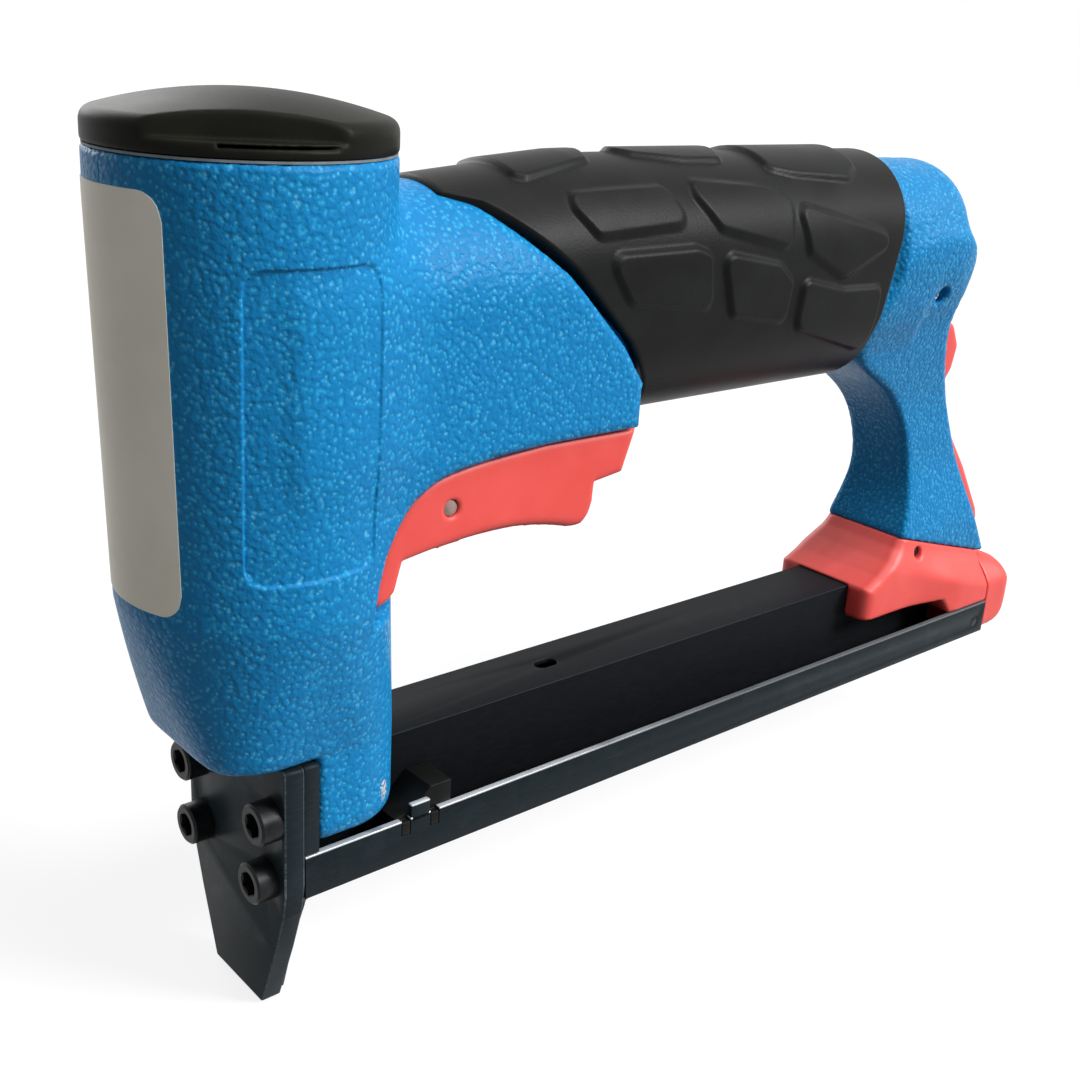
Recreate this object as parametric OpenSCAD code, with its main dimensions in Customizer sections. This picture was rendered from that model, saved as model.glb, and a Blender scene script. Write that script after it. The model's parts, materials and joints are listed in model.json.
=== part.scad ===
// Pneumatic upholstery stapler: a cast body with a driver piston, a trigger valve,
// a bottom loading staple magazine and a rocker latch.
// The origin is the middle of the staple exit at the nose tip. X runs back along the
// magazine, Y runs across the tool and Z runs up along the driver.

/* [Nose and staple path] */
// Width of the nose plates and of the slide rail
nose_w = 33.6; // [32.8:0.2:35]
// Width of the nose at its tip
tip_w = 16.6; // [15:0.2:20]
// Thickness of the front nose plate
plate_t = 3.8; // [3:0.1:4.4]
// Thickness of the driver guide plate
guide_t = 2.8; // [2.4:0.1:3.4]
// Height of the nose plates above the tip
nose_h = 50.3; // [49:0.1:52]
// Outside width of a staple's crown
crown_w = 12.9; // [12.5:0.05:13.2]
// Longest staple leg that the magazine takes
leg_l = 16; // [14:0.5:16.5]
// Thickness of the driver blade
blade_t = 1.0; // [0.8:0.05:1.2]
// Diameter of the nose screws' threads
screw_d = 5; // [4:0.5:5]

/* [Magazine] */
// Height of the slide rail's underside above the tip
rail_z = 24.9; // [24.4:0.1:25.4]
// Height of the slide rail's side walls
rail_h = 8.2; // [7:0.1:9]
// Length of the slide rail
rail_l = 203.1; // [201:0.1:205]
// Sheet thickness of the slide rail
rail_t = 1.2; // [1:0.1:1.5]
// Sheet thickness of the fixed magazine
mag_t = 1.0; // [0.8:0.1:1.2]
// Length of the pusher
pusher_l = 18; // [14:0.5:24]
// Diameter of the pusher's guide rod
rod_d = 3; // [2.5:0.1:3.5]

/* [Head and piston] */
// Outside diameter of the head
head_d = 46; // [45:0.2:48]
// Height of the head's top face
head_z = 147; // [146.5:0.5:150]
// Diameter of the bore in the head
bore_d = 35; // [34.6:0.1:35.4]
// Diameter of the piston's bore in the cylinder sleeve
piston_d = 27; // [26:0.1:27.6]
// Length of the piston's stroke
stroke = 45; // [44:0.1:45.4]
// Lift of the head valve
lift = 3; // [2:0.1:3.2]
// Height of the cap's crest above the head
cap_h = 8.2; // [8:0.1:10]

/* [Handle and grip] */
// Width of the handle's core
core_w = 30.4; // [29.6:0.1:30.6]
// Height of the handle's core
core_h = 40.6; // [39:0.2:41]
// Wall of the grip sleeve at its sides
grip_t = 2.8; // [2.4:0.1:3.4]
// Height of the tread pads on the grip
pad_h = 0.7; // [0.4:0.1:1]
// Half width of the web between head and handle
web_r = 18.6; // [18.4:0.1:19.2]
// Diameter of the air chamber in the handle
chamber_d = 23; // [18:0.5:24]
// Width of the rear post at its waist
post_w = 16.8; // [16:0.1:18]

/* [Trigger] */
// Width across the trigger's cheeks
trigger_w = 34.3; // [33.8:0.1:34.5]
// Wall of the trigger's cheeks
trigger_t = 1.9; // [1.7:0.1:2]
// Diameter of the trigger's pin
pivot_d = 3; // [2.5:0.1:3.4]
// Distance of the trigger valve behind the pin
valve_dx = 21.8; // [20:0.1:23]
// Diameter of the trigger valve's stem
stem_d = 5; // [4.4:0.1:5.4]

/* [Air inlet] */
// Diameter of the inlet's threaded hole
inlet_d = 11.5; // [11:0.05:11.8]
// Depth of the inlet's thread
inlet_l = 13; // [11:0.5:15]
// Outside diameter of the inlet bush
bush_d = 21.6; // [20.8:0.1:22]

/* [Rear bracket and latch] */
// Width of the rear bracket at its front
bracket_w = 27.4; // [26.6:0.1:29]
// Width of the latch lever
lever_w = 11; // [9:0.1:11.4]
// Diameter of the latch lever's pin
latch_pin_d = 3; // [2.5:0.1:3.2]

/* [Hidden] */
$fn = 96;
far = 400;

// Clearances
slip = 0.05;
fit = 0.1;
gap = 0.3;
run = 0.5;

// Colours
blue = "#1f6fb8";
red = "#ee5a4a";
black = "#1d1d1f";
gunmetal = "#333b44";
steel = "#b9bec4";
amber = "#c9962f";
brass = "#c8a24a";

// Nose and staple path
half_w = nose_w / 2;
slot_t = blade_t + 2 * fit;
slot_share = 0.4;
guide_x = slot_t / 2 - slot_share;
plate_x = guide_x - plate_t;
nose_back = guide_x + guide_t;
blade_w = crown_w - gap;
guide_tip = 0.4;
guide_tip_t = 1.2;
guide_taper_z = 20;
shoulder_z = 27;
screw_rows = [[half_w - 3.9, nose_h - 10.2], [half_w - 5.6, nose_h - 22.4]];
screw_head_d = 7.4;
screw_head_h = 3.9;
screw_key_d = 4;
screw_key_l = 2.6;
screw_thread_l = 9;

// Magazine
floor_z = rail_z + rail_t;
rail_top = rail_z + rail_h;
rail_x = guide_x + gap / 2;
floor_x = nose_back + gap / 2;
rail_end = rail_x + rail_l;
rear_x = rail_end;
rail_in = half_w - rail_t;
mag_in = crown_w / 2 + slip / 2;
mag_out = mag_in + mag_t;
roof_z = floor_z + leg_l + 1.8;
mag_top = roof_z + mag_t;
mag_x = nose_back + slip;
mag_l = rail_l - 18.1;
mag_hole = [66.7, 5.4, 3.2];
inner_half = crown_w / 2 - 1.25;
inner_t = 0.8;
inner_top = floor_z + 13.5;
inner_x = floor_x + 1;
plug_l = 8;
plug_x = rail_end - plug_l;
inner_end = plug_x - fit;
rod_z = floor_z + 6;
rod_x = inner_x + fit;
rod_seat = 3.5;
spring_r = rod_d / 2 + 1.1;
spring_wire = 0.7;
spring_turns = 28;
pusher_x = nose_back + run;
tongue_x = inner_x + inner_t + run;
shoe_x = 19.4;
shoe_l = 12.2;
shoe_rise = 4.2;
notch_xs = [19.9, 26.2];
notch_w = 2;
notch_d = 3.2;
tail_l = 12.8;
tail_top = 44;
tail_r = 8;
tail_top_r = 9;
tail_foot_r = 6;
catch_h = 1.6;
rivet_inset = 4.2;
rivet_z = rail_z + 3.5;
rivet_d = 3;

// Head, from the bottom up
head_r = head_d / 2;
bore_r = bore_d / 2;
piston_r = piston_d / 2;
sleeve_r = piston_r + 2;
lip_z = nose_h + run;
lip_x = -13.8;
chamfer_z = lip_z + 26.2;
foot_z = rail_top + 1.3;
foot_r = 13;
foot_x = 23.5;
seat_z = lip_z + 11.4;
seat_h = 14;
bumper_h = 9.8;
piston_h = 10;
piston_z = seat_z + bumper_h + stroke + run;
sleeve_top = piston_z + piston_h + 1.5;
blade_tip = mag_top + 0.7;
blade_seat = 4.5;
valve_h = 9.3;
valve_z = sleeve_top + fit;
valve_pocket = 5;
lift_spring_r = 9.5;
lift_spring_wire = 1.4;
plug_r = bore_r - fit;
plug_z = valve_z + valve_h + lift + run;
rim_h = 2.2;
arch_drop = cap_h - rim_h - gap;
arch_r = (head_r * head_r + arch_drop * arch_drop) / (2 * arch_drop);
scoop_y = 12.5;
scoop_x = 11;
scoop_r = 4;
collar_h = 6;
collar_z = sleeve_top - 18;
seal_r = 0.9;
small_seal_r = 0.5;

// Handle
core_r = core_w / 2;
core_z = 121;
core_top = core_z + core_h / 2;
web_top = core_top + 0.4;
chamber_z = core_z + 1;
boss_r = 16.6;
boss_z = 126.4;
boss_x = rear_x - 56.2;
boss_end = rear_x - 30.6;
core_end = boss_x + 11;
web_end = 68.5;
boss_edge = 3;
grip_w = core_w + 2 * (fit + grip_t);
grip_h = core_h + 7.2;
grip_z = core_z + 0.3;
grip_front = [[29.5, 142.4], [36, 140.2], [51.6, 128.4], [65.3, 115], [71.5, 106.5],
    [75.5, 99.4]];
grip_rear = shifted([[-0.6, 150], [-1.2, 143], [-6.6, 120], [-9.2, 109], [-8.6, 90]], [boss_x, 0]);
grip_rise = [[46, 144], [66, grip_z + grip_h / 2 + 1]];
// Tread pads as side outlines: x, z and corner radius
pads = [
    [[50.8, 140.4, 2], [75.6, 140.6, 2], [79.5, 134.2, 2], [56.6, 133.1, 2]],
    [[80.4, 141.4, 2], [101.7, 140, 3], [108.2, 137.6, 2], [105.8, 128.8, 2], [86.4, 133.4, 2]],
    [[109.2, 137.2, 2], [132.6, 131.6, 2], [139.6, 128.8, 2], [123.3, 122, 3], [111.3, 127.8, 2]],
    [[58.4, 130.4, 2], [80, 130.6, 2], [84.2, 129.2, 2], [85.5, 118.7, 2], [64.5, 121.2, 3]],
    [[87.2, 129.2, 2], [103.4, 126.2, 2], [107.8, 122.4, 2], [106.6, 114.6, 2], [89.4, 117.8, 2]],
    [[111, 122.6, 2], [123.6, 119.8, 2], [136.4, 119.6, 2], [135, 106, 2], [110, 113, 3]]];

// Trigger: side outline, from the front prong along the top and back underneath
trigger_in = trigger_w / 2 - trigger_t;
lug_half = trigger_in - gap / 1.5;
pocket_half = trigger_w / 2 + gap / 1.5;
pivot = [28.2, 90.2];
pivot_boss_r = 3.5;
trigger_turn = 6;
valve_x = pivot.x + valve_dx;
bar_top = 86.2;
trigger_edge = [[12.7, 75.9], [14.7, 83.6], [17.2, 88.4], [20.7, 92.4], [24.5, 94.7],
    [28.4, 95.9], [36.4, 97], [48.9, 97.8], [69.2, 97.8]];
trigger_under = [[67.4, 90.1], [60.8, 89.2], [60.6, 85.9], [59.7, 83], [57.2, 81.3],
    [50, 83.3], [41.3, 84.5], [33, 84.3], [24.9, 83.4], [18.9, 82.5], [17.5, 77.6],
    [16.2, 76.2], [13.9, 75.2]];
bar_first = 2;
bar_last = 8;
tuck = [-0.5, 0.8];
reveal = [-0.5, 0.6];
recess_z = trigger_under[len(trigger_under) - 1].y - 1.8;
skirt_end_z = trigger_edge[len(trigger_edge) - 1].y + 0.8;
recess_end = web_end + 20;
lug_z = bar_top + 4;
lug_end = 67;

// Trigger valve
valve_r = 6.9;
valve_guide_h = 8.4;
valve_room_r = 5.2;
valve_l = 24;
valve_cap_t = 1.6;
stem_r = stem_d / 2;
stem_tip_z = bar_top + 0.4;
stem_collar_z = lug_z + valve_guide_h + gap;
stem_collar_h = 3;
stem_l = 16;
valve_spring_r = 3.9;
valve_spring_wire = 0.7;

// Air inlet
bush_l = 22;
inlet_pin_d = 3;
inlet_pin_at = [boss_end - 9.2, boss_z - bush_d / 2 - 0.4];

// Rear post, bracket and latch
post_half = post_w / 2;
post_foot = post_half + 3.4;
post_head = boss_r - 1.2;
post_front = from_rear([[-53.4, 126], [-53.4, 112], [-46.4, 97.5], [-43.4, 91], [-35.4, 79],
    [-32, 70]]);
seam_front = [rear_x - 34.4, 55.3];
seam_rear = [rear_x + 3.5, 44.6];
post_rear = from_rear([[-1.8, 53], [-7.2, 63], [-11.2, 71], [-15.8, 79.3], [-20.6, 88.6], [-25.4, 97],
    [-28.6, 104], [-30.2, 110.3], [-30.6, 116], [-30.6, 126]]);
post_width = [[40, post_foot], [55, post_foot], [71, post_half], [88, post_half],
    [104, post_half + 3.2], [116, post_head - 0.8], [130, post_head]];
bracket_half = bracket_w / 2;
bracket_x = rear_x - 48.2;
skirt_z = 37.3;
bracket_end = rail_end - gap;
wide_l = 16.6;
wide_x = bracket_end - wide_l;
step_l = 3;
// The bracket's front from its tip up to the seam: x from the tip and height above the magazine
bracket_front = [[0, 0.5, 1], [4.8, 2.7, 4], [9.2, 5.5, 6], [12.2, 8.1, 4]];
tongue_half = 6;
tongue_z = mag_top + 1.2;
bracket_pin_d = 3;
bracket_pin_at = [rear_x - 27.9, 50.6];
tongue_l = 10.4;
tongue_span = [bracket_pin_at.x - tongue_l / 2, bracket_pin_at.x + tongue_l / 2];
latch_pivot = [rear_x - 21.45, 79];
lever_half = lever_w / 2;
slot_half = lever_half + gap;
lever_line = from_rear([[-27.2, 106.4, 2], [-31.4, 99, 1.5], [-29, 90, 0], [-27.2, 82.5, 3],
    [-22.4, 73.5, 6], [-14, 61.5, 0], [-1.8, 47.6, 0.5], [1.6, 46.4, 0.8], [8.4, 51, 1.2],
    [7.2, 54.2, 2], [-2, 67, 12], [-11, 77.5, 8], [-20, 86.6, 4], [-15, 93.6, 3],
    [-13.8, 99.4, 3], [-16.8, 104.8, 3], [-23.4, 107.6, 1.5]]);
lever_room = from_rear([[-31.6, 109], [-35.2, 99], [-31.4, 88.3], [-28.6, 81.8], [-23.2, 72.8],
    [-14.8, 60.8], [-2.8, 46.8], [-2.8, 40], [26, 40], [26, 109]]);
latch_spring_z = 97.6;
latch_spring_x = rear_x - 39.4;
latch_spring_l = 8.1;
latch_spring_r = 2.6;
latch_spring_wire = 0.7;

// A corner of an outline turned into an arc: p lies between a and b
function corner(p, a, b, r, steps = 5) =
    let (u = (a - p) / norm(a - p), v = (b - p) / norm(b - p), half = acos(u * v) / 2)
    let (c = p + (u + v) / norm(u + v) * r / sin(half))
    let (s = p + u * r / tan(half) - c, e = p + v * r / tan(half) - c)
    let (start = atan2(s.y, s.x), turn = (atan2(e.y, e.x) - start + 900) % 360 - 180)
    [for (i = [0:steps]) c + r * [cos(start + turn * i / steps), sin(start + turn * i / steps)]];

// An outline of [x, y, radius] points with each corner rounded
function soft(line) = [for (i = [0:len(line) - 1])
    let (n = len(line), p = line[i], a = line[(i + n - 1) % n], b = line[(i + 1) % n])
    each p[2] > 0 ? corner([p.x, p.y], [a.x, a.y], [b.x, b.y], p[2]) : [[p.x, p.y]]];

function shifted(line, by) = [for (p = line) p + by];
function from_rear(line) = [for (p = line)
    len(p) > 2 ? [p.x + rear_x, p.y, p[2]] : [p.x + rear_x, p.y]];
function reversed(line) = [for (i = [len(line) - 1:-1:0]) line[i]];
function mirrored(line) = concat(line,
    [for (p = reversed(line)) len(p) > 2 ? [-p.x, p.y, p[2]] : [-p.x, p.y]]);
function mirrored_x(line) = concat(line, [for (p = reversed(line)) [p.x, -p.y, p[2]]]);
function seam_at(x) = seam_front.y
    + (x - seam_front.x) * (seam_rear.y - seam_front.y) / (seam_rear.x - seam_front.x);

// A side outline in X and Z, made w wide and centred across the tool
module side(w) rotate([90, 0, 0]) linear_extrude(w, center = true) children();

// The same outline, standing on the near side from y outwards by w
module near_side(y, w) translate([0, -y, 0]) rotate([90, 0, 0]) linear_extrude(w) children();

// A cross section in Y and Z, drawn out along X from x by l
module along(x, l) translate([x, 0, 0]) rotate([90, 0, 90]) linear_extrude(l) children();

// A round bar across the tool at a point of the side view
module cross_bar(at, d, l)
    translate([at.x, 0, at.y]) rotate([90, 0, 0]) cylinder(d = d, h = l, center = true);

// A round bar along X at height z and distance y to the side
module long_bar(x, z, d, l, y = 0) translate([x, y, z]) rotate([0, 90, 0]) cylinder(d = d, h = l);

module both_sides() {
    children();
    mirror([0, 1, 0]) children();
}

// An upright section with round ends, w wide and h tall about its middle
module obround(w, h) {
    for (s = [-1, 1]) translate([0, s * (h - w) / 2]) circle(d = w);
    square([w, h - w], center = true);
}

module disc(r, z, h) translate([0, 0, z]) cylinder(r = r, h = h);

module ring(r_out, r_in, z, h) difference() {
    disc(r_out, z, h);
    disc(r_in, z - 1, h + 2);
}

// A round seal of cord radius c that fills a bore of radius r, and the groove for it
module seal(r, c, z) translate([0, 0, z]) rotate_extrude() translate([r - slip - c, 0]) circle(r = c);
module groove(r, c, z) ring(r + 1, r - slip - 2 * c - slip, z - 1.2 * c, 2.4 * c);

// A compression spring standing on Z from 0 to length
module coil(r, wire, length, turns) {
    rings = round(turns * 8);
    sides = 6;
    rise = length - wire;
    echo(coil_least_gap = rise / turns - wire);
    points = [for (i = [0:rings], k = [0:sides - 1])
        let (a = 360 * turns * i / rings, b = 360 * k / sides, q = r + wire / 2 * cos(b))
        [q * cos(a), q * sin(a), wire / 2 + rise * i / rings + wire / 2 * sin(b)]];
    skin = [for (i = [0:rings - 1], k = [0:sides - 1])
        let (a = i * sides + k, b = i * sides + (k + 1) % sides)
        each [[a, a + sides, b], [b, a + sides, b + sides]]];
    caps = [for (k = [1:sides - 2])
        each [[0, k, k + 1], [rings * sides, rings * sides + k + 1, rings * sides + k]]];
    polyhedron(points, concat(skin, caps));
}

// Body casting

module head_outside() {
    disc(head_r, chamfer_z, head_z - chamfer_z);
    difference() {
        hull() {
            disc(head_r, chamfer_z, 1, $fn = 64);
            translate([0.5, 0, 0]) disc(half_w + 0.2, lip_z - 1, 1, $fn = 64);
            for (s = [-1, 1]) translate([foot_x - foot_r, s * (half_w - foot_r), 0])
                disc(foot_r, foot_z, lip_z - foot_z + 20, $fn = 32);
        }
        side(far) polygon([[lip_x, lip_z - 1], [-head_r - 1, chamfer_z + 2.5], [-far, chamfer_z],
            [-far, 0], [lip_x, 0]]);
    }
}

module web_outside() intersection() {
    side(far) polygon(concat([[0, web_top]], shifted(grip_front, [-1, web_top - grip_front[0].y]),
        [[web_end + 1, skirt_end_z]], reversed(shifted(trigger_edge, reveal)), [[0, recess_z]]));
    along(0, web_end) {
        translate([0, web_top - web_r]) circle(r = web_r);
        translate([-web_r, 0]) square([2 * web_r, web_top - web_r]);
    }
}

module trigger_lug() side(2 * lug_half) {
    polygon([[10, 87.2], [pivot.x - 3, 87.2], [pivot.x + 5.4, lug_z], [lug_end, lug_z],
        [lug_end, core_z - core_r], [10, core_z - core_r]]);
    translate(pivot) circle(r = pivot_boss_r);
}

module boss_outside() intersection() {
    long_bar(boss_x, boss_z, 2 * boss_r, boss_end - boss_x);
    translate([0, 0, boss_z]) rotate([0, 90, 0]) rotate_extrude() polygon([[0, boss_x - 1],
        [boss_r, boss_x - 1], [boss_r, boss_end - boss_edge], [boss_r - boss_edge, boss_end], [0, boss_end]]);
}

module post_outside() intersection() {
    side(far) polygon(concat(post_front, [seam_front, seam_rear], post_rear));
    along(0, far) polygon(mirrored([for (p = post_width) [p[1], p[0]]]));
}

module post_tongue(play) side(2 * (tongue_half + play)) polygon([[tongue_span[0] - play, 58],
    [tongue_span[0] - play, tongue_z - play], [tongue_span[1] + play, tongue_z - play],
    [tongue_span[1] + play, 50]]);

// Open to the side around the trigger, with pockets that its cheeks rise into
module trigger_recess() both_sides() {
    near_side(lug_half, far) polygon(concat(shifted(trigger_edge, reveal),
        [[recess_end, skirt_end_z - 0.8], [recess_end, recess_z], [trigger_edge[0].x - 0.3, recess_z]]));
    near_side(lug_half, pocket_half - lug_half) polygon(concat([for (p = trigger_edge)
        p + [-1, 2.2 + max(0, p.x - pivot.x) * sin(trigger_turn)]],
        [[recess_end, skirt_end_z + 6], [recess_end, recess_z], [trigger_edge[0].x - 0.7, recess_z]]));
}

module body() color(blue) difference() {
    union() {
        head_outside();
        web_outside();
        trigger_lug();
        along(10, core_end - 10) translate([0, core_z]) obround(core_w, core_h);
        boss_outside();
        post_outside();
        post_tongue(0);
    }
    // Cylinder bore, sleeve seat, blade slot and nose seat
    disc(bore_r, seat_z + seat_h, far);
    disc(sleeve_r + fit, seat_z, far);
    translate([-slot_t / 2 - 1, -blade_w / 2 - 1, foot_z - 1]) cube([slot_t + 2, blade_w + 2, seat_z]);
    translate([-far, -far, 0]) cube([far + nose_back, 2 * far, lip_z]);
    // Channel for the magazine and threads for the upper nose screws
    translate([0, -mag_out - slip, 0]) cube([60, 2 * (mag_out + slip), mag_top + slip]);
    for (s = [-1, 1])
        long_bar(0, screw_rows[0].y, screw_d, nose_back + screw_thread_l, s * screw_rows[0].x);
    // Air chamber, trigger valve and inlet
    long_bar(10, chamber_z, chamber_d, boss_end - bush_l - 10);
    long_bar(boss_end - bush_l, boss_z, bush_d + 2 * slip, far);
    translate([valve_x, 0, 0]) disc(valve_r + fit, 60, chamber_z - 60);
    cross_bar(inlet_pin_at, inlet_pin_d, far);
    // Trigger, latch and bracket pins
    trigger_recess();
    cross_bar(pivot, pivot_d, far);
    side(2 * slot_half) polygon(lever_room);
    translate([latch_pivot.x, 2 - post_half, latch_pivot.y]) rotate([-90, 0, 0])
        cylinder(d = latch_pin_d, h = far);
    long_bar(latch_spring_x, latch_spring_z, 2 * latch_spring_r + latch_spring_wire + run, 12);
    cross_bar(bracket_pin_at, bracket_pin_d, far);
}

module grip_sleeve() color(black) intersection() {
    side(far) polygon(concat(grip_rise, grip_rear, [[grip_front[3].x + 40, grip_z - grip_h / 2 - 1]],
        reversed(grip_front)));
    difference() {
        union() {
            along(0, far) translate([0, grip_z]) obround(grip_w, grip_h);
            intersection() {
                along(0, far) translate([0, grip_z]) obround(grip_w + 2 * pad_h, grip_h + 2 * pad_h);
                both_sides() near_side(core_r / 2, far) for (pad = pads) polygon(soft(pad));
            }
        }
        along(0, far) translate([0, core_z]) obround(core_w + 2 * fit, core_h + 2 * fit);
    }
}

// Head

module head_cap() color(black) difference() {
    union() {
        disc(head_r, head_z, rim_h);
        intersection() {
            disc(head_r, head_z, cap_h + 1);
            side(far) translate([0, head_z + cap_h - arch_r]) circle(r = arch_r);
        }
        disc(plug_r, plug_z, head_z - plug_z + rim_h);
    }
    both_sides() translate([0, -far - scoop_y, head_z + rim_h]) {
        translate([-far, 0, 0]) cube([far + scoop_x - scoop_r, far, cap_h]);
        cube([scoop_x, far - scoop_r, cap_h]);
        translate([scoop_x - scoop_r, far - scoop_r, 0]) cylinder(r = scoop_r, h = cap_h);
    }
    groove(bore_r, seal_r, (plug_z + head_z) / 2);
}

module cap_seal() color(black) seal(bore_r, seal_r, (plug_z + head_z) / 2);

module cylinder_sleeve() color(steel) difference() {
    union() {
        disc(sleeve_r, seat_z, sleeve_top - seat_z);
        disc(bore_r - fit, collar_z, collar_h);
    }
    disc(piston_r, 0, far);
    groove(bore_r, seal_r, collar_z + collar_h / 2);
    groove(sleeve_r + fit, small_seal_r, seat_z + seat_h / 2);
}

module sleeve_seals() color(black) {
    seal(bore_r, seal_r, collar_z + collar_h / 2);
    seal(sleeve_r + fit, small_seal_r, seat_z + seat_h / 2);
}

module bumper() color(amber) difference() {
    disc(piston_r - fit, seat_z, bumper_h);
    translate([-slot_t / 2 - run, -blade_w / 2 - run, 0]) cube([slot_t + 2 * run, blade_w + 2 * run, far]);
}

module piston() color(steel) difference() {
    disc(piston_r - slip, piston_z, piston_h);
    groove(piston_r, seal_r, piston_z + piston_h / 2);
    translate([-blade_t / 2 - slip, -blade_w / 2 - slip, 0])
        cube([blade_t + 2 * slip, blade_w + 2 * slip, piston_z + blade_seat]);
}

module piston_ring() color(black) seal(piston_r, seal_r, piston_z + piston_h / 2);

module driver_blade() color(steel) translate([-blade_t / 2, -blade_w / 2, blade_tip])
    cube([blade_t, blade_w, piston_z + blade_seat - blade_tip]);

module head_valve() color("ivory") difference() {
    disc(plug_r, valve_z, valve_h);
    groove(bore_r, seal_r, valve_z + valve_h / 3);
    ring(lift_spring_r + lift_spring_wire, lift_spring_r - lift_spring_wire,
        valve_z + valve_h - valve_pocket, far);
}

module head_valve_seal() color(black) seal(bore_r, seal_r, valve_z + valve_h / 3);

module head_valve_spring() color(steel) translate([0, 0, valve_z + valve_h - valve_pocket + slip])
    coil(lift_spring_r, lift_spring_wire, valve_pocket + lift + run - 2 * slip, 3);

// Trigger and its valve

module trigger() color(red) difference() {
    union() {
        both_sides() near_side(trigger_in, trigger_t)
            polygon(concat(shifted(trigger_edge, tuck), trigger_under));
        difference() {
            side(2 * trigger_in + slip) polygon(concat([[trigger_under[bar_last].x, bar_top]],
                [[trigger_under[bar_first].x - trigger_t, bar_top]],
                [for (i = [bar_first:bar_last]) trigger_under[i]]));
            disc(head_r + run, 0, far);
        }
    }
    cross_bar(pivot, pivot_d + 2 * slip, far);
}

module trigger_pin() color(steel) cross_bar(pivot, pivot_d, trigger_w - 2 * run);

module valve_stem() color(brass) translate([valve_x, 0, 0]) difference() {
    union() {
        disc(stem_r - 2 * gap, stem_tip_z, far / 100);
        disc(stem_r, lug_z - 1, stem_l + 1);
        disc(valve_room_r - gap, stem_collar_z, stem_collar_h);
    }
    groove(stem_r + slip, small_seal_r, lug_z + valve_guide_h / 2);
}

module stem_seal() color(black) translate([valve_x, 0, 0])
    seal(stem_r + slip, small_seal_r, lug_z + valve_guide_h / 2);

module valve_bush() color(brass) translate([valve_x, 0, 0]) difference() {
    disc(valve_r, lug_z, valve_l);
    disc(stem_r + slip, 0, far);
    disc(valve_room_r, lug_z + valve_guide_h, far);
    groove(valve_r + fit, small_seal_r, lug_z + valve_guide_h / 2);
    groove(valve_r + fit, small_seal_r, lug_z + valve_guide_h * 1.5);
}

module bush_seals() color(black) translate([valve_x, 0, 0]) {
    seal(valve_r + fit, small_seal_r, lug_z + valve_guide_h / 2);
    seal(valve_r + fit, small_seal_r, lug_z + valve_guide_h * 1.5);
}

module valve_cap() color(brass) translate([valve_x, 0, 0])
    ring(valve_r, stem_r - 2 * gap, lug_z + valve_l, valve_cap_t);

module valve_spring() color(steel) translate([valve_x, 0, stem_collar_z + stem_collar_h + slip])
    coil(valve_spring_r, valve_spring_wire, lug_z + valve_l - stem_collar_z - stem_collar_h - 2 * slip, 6);

// Nose

// The driver's slot lies partly in each nose plate
module blade_slot() translate([-slot_t / 2, -blade_w / 2 - fit, -1]) cube([slot_t, blade_w + 2 * fit, far]);

module screw_holes() for (row = screw_rows, s = [-1, 1])
    long_bar(-20, row.y, screw_d + 2 * slip, far, s * row.x);

module nose_plate() color(gunmetal) difference() {
    along(plate_x, plate_t) polygon(soft(mirrored([[tip_w / 2, 0, 0.6], [tip_w / 2 + 4.8, 13, 6],
        [half_w - 0.8, 22, 4], [half_w, shoulder_z, 0], [half_w, nose_h, 0.8]])));
    blade_slot();
    screw_holes();
}

module driver_guide() color(gunmetal) difference() {
    along(guide_x, guide_t) polygon(soft(mirrored([[tip_w / 2 - 1.1, guide_tip, 0.4],
        [tip_w / 2 + 1.6, 13, 6], [half_w - 4.4, 21, 2], [rail_in - gap, shoulder_z - 2, 0],
        [rail_in - gap, rail_top + gap, 0], [half_w, rail_top + gap, 0], [half_w, nose_h, 0.8]])));
    side(far) polygon([[nose_back, guide_taper_z], [guide_x + guide_tip_t, guide_tip - 1],
        [nose_back + 1, guide_tip - 1], [nose_back + 1, guide_taper_z]]);
    blade_slot();
    translate([0, -mag_in, floor_z]) cube([far, 2 * mag_in, roof_z - floor_z]);
    screw_holes();
}

module nose_screws() color(black) for (i = [0, 1], s = [-1, 1]) {
    thread = plate_t + guide_t + (i == 0 ? screw_thread_l : 0);
    difference() {
        union() {
            long_bar(plate_x - screw_head_h, screw_rows[i].y, screw_head_d, screw_head_h,
                s * screw_rows[i].x);
            long_bar(plate_x - 1, screw_rows[i].y, screw_d - slip, thread + 1, s * screw_rows[i].x);
        }
        translate([plate_x - screw_head_h, s * screw_rows[i].x, screw_rows[i].y]) rotate([0, 90, 0])
            cylinder(d = screw_key_d * 2 / sqrt(3), h = 2 * screw_key_l, center = true, $fn = 6);
    }
}

// Magazine

module fixed_magazine() color(black) difference() {
    along(mag_x, mag_l) difference() {
        translate([-mag_out, floor_z + run]) square([2 * mag_out, mag_top - floor_z - run]);
        translate([-mag_in, 0]) square([2 * mag_in, roof_z]);
    }
    for (s = [-1, 1]) translate([mag_hole.x + s * (mag_hole.y - mag_hole.z) / 2, 0, mag_top - 2 * mag_t])
        cylinder(d = mag_hole.z, h = far);
    translate([mag_hole.x - (mag_hole.y - mag_hole.z) / 2, -mag_hole.z / 2, roof_z - 1])
        cube([mag_hole.y - mag_hole.z, mag_hole.z, far]);
}

module slide_rail() color(gunmetal) difference() {
    along(rail_x, rail_l) difference() {
        translate([-half_w, rail_z]) square([nose_w, rail_h]);
        translate([-rail_in, floor_z]) square([2 * rail_in, rail_h]);
    }
    // The walls reach past the driver guide, which stops the floor
    translate([0, -rail_in, 0]) cube([floor_x, 2 * rail_in, far]);
    for (x = notch_xs) translate([x, -far, rail_top - notch_d]) cube([notch_w, 2 * far, far]);
    cross_bar([rail_end - rivet_inset, rivet_z], rivet_d, far);
}

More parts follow.
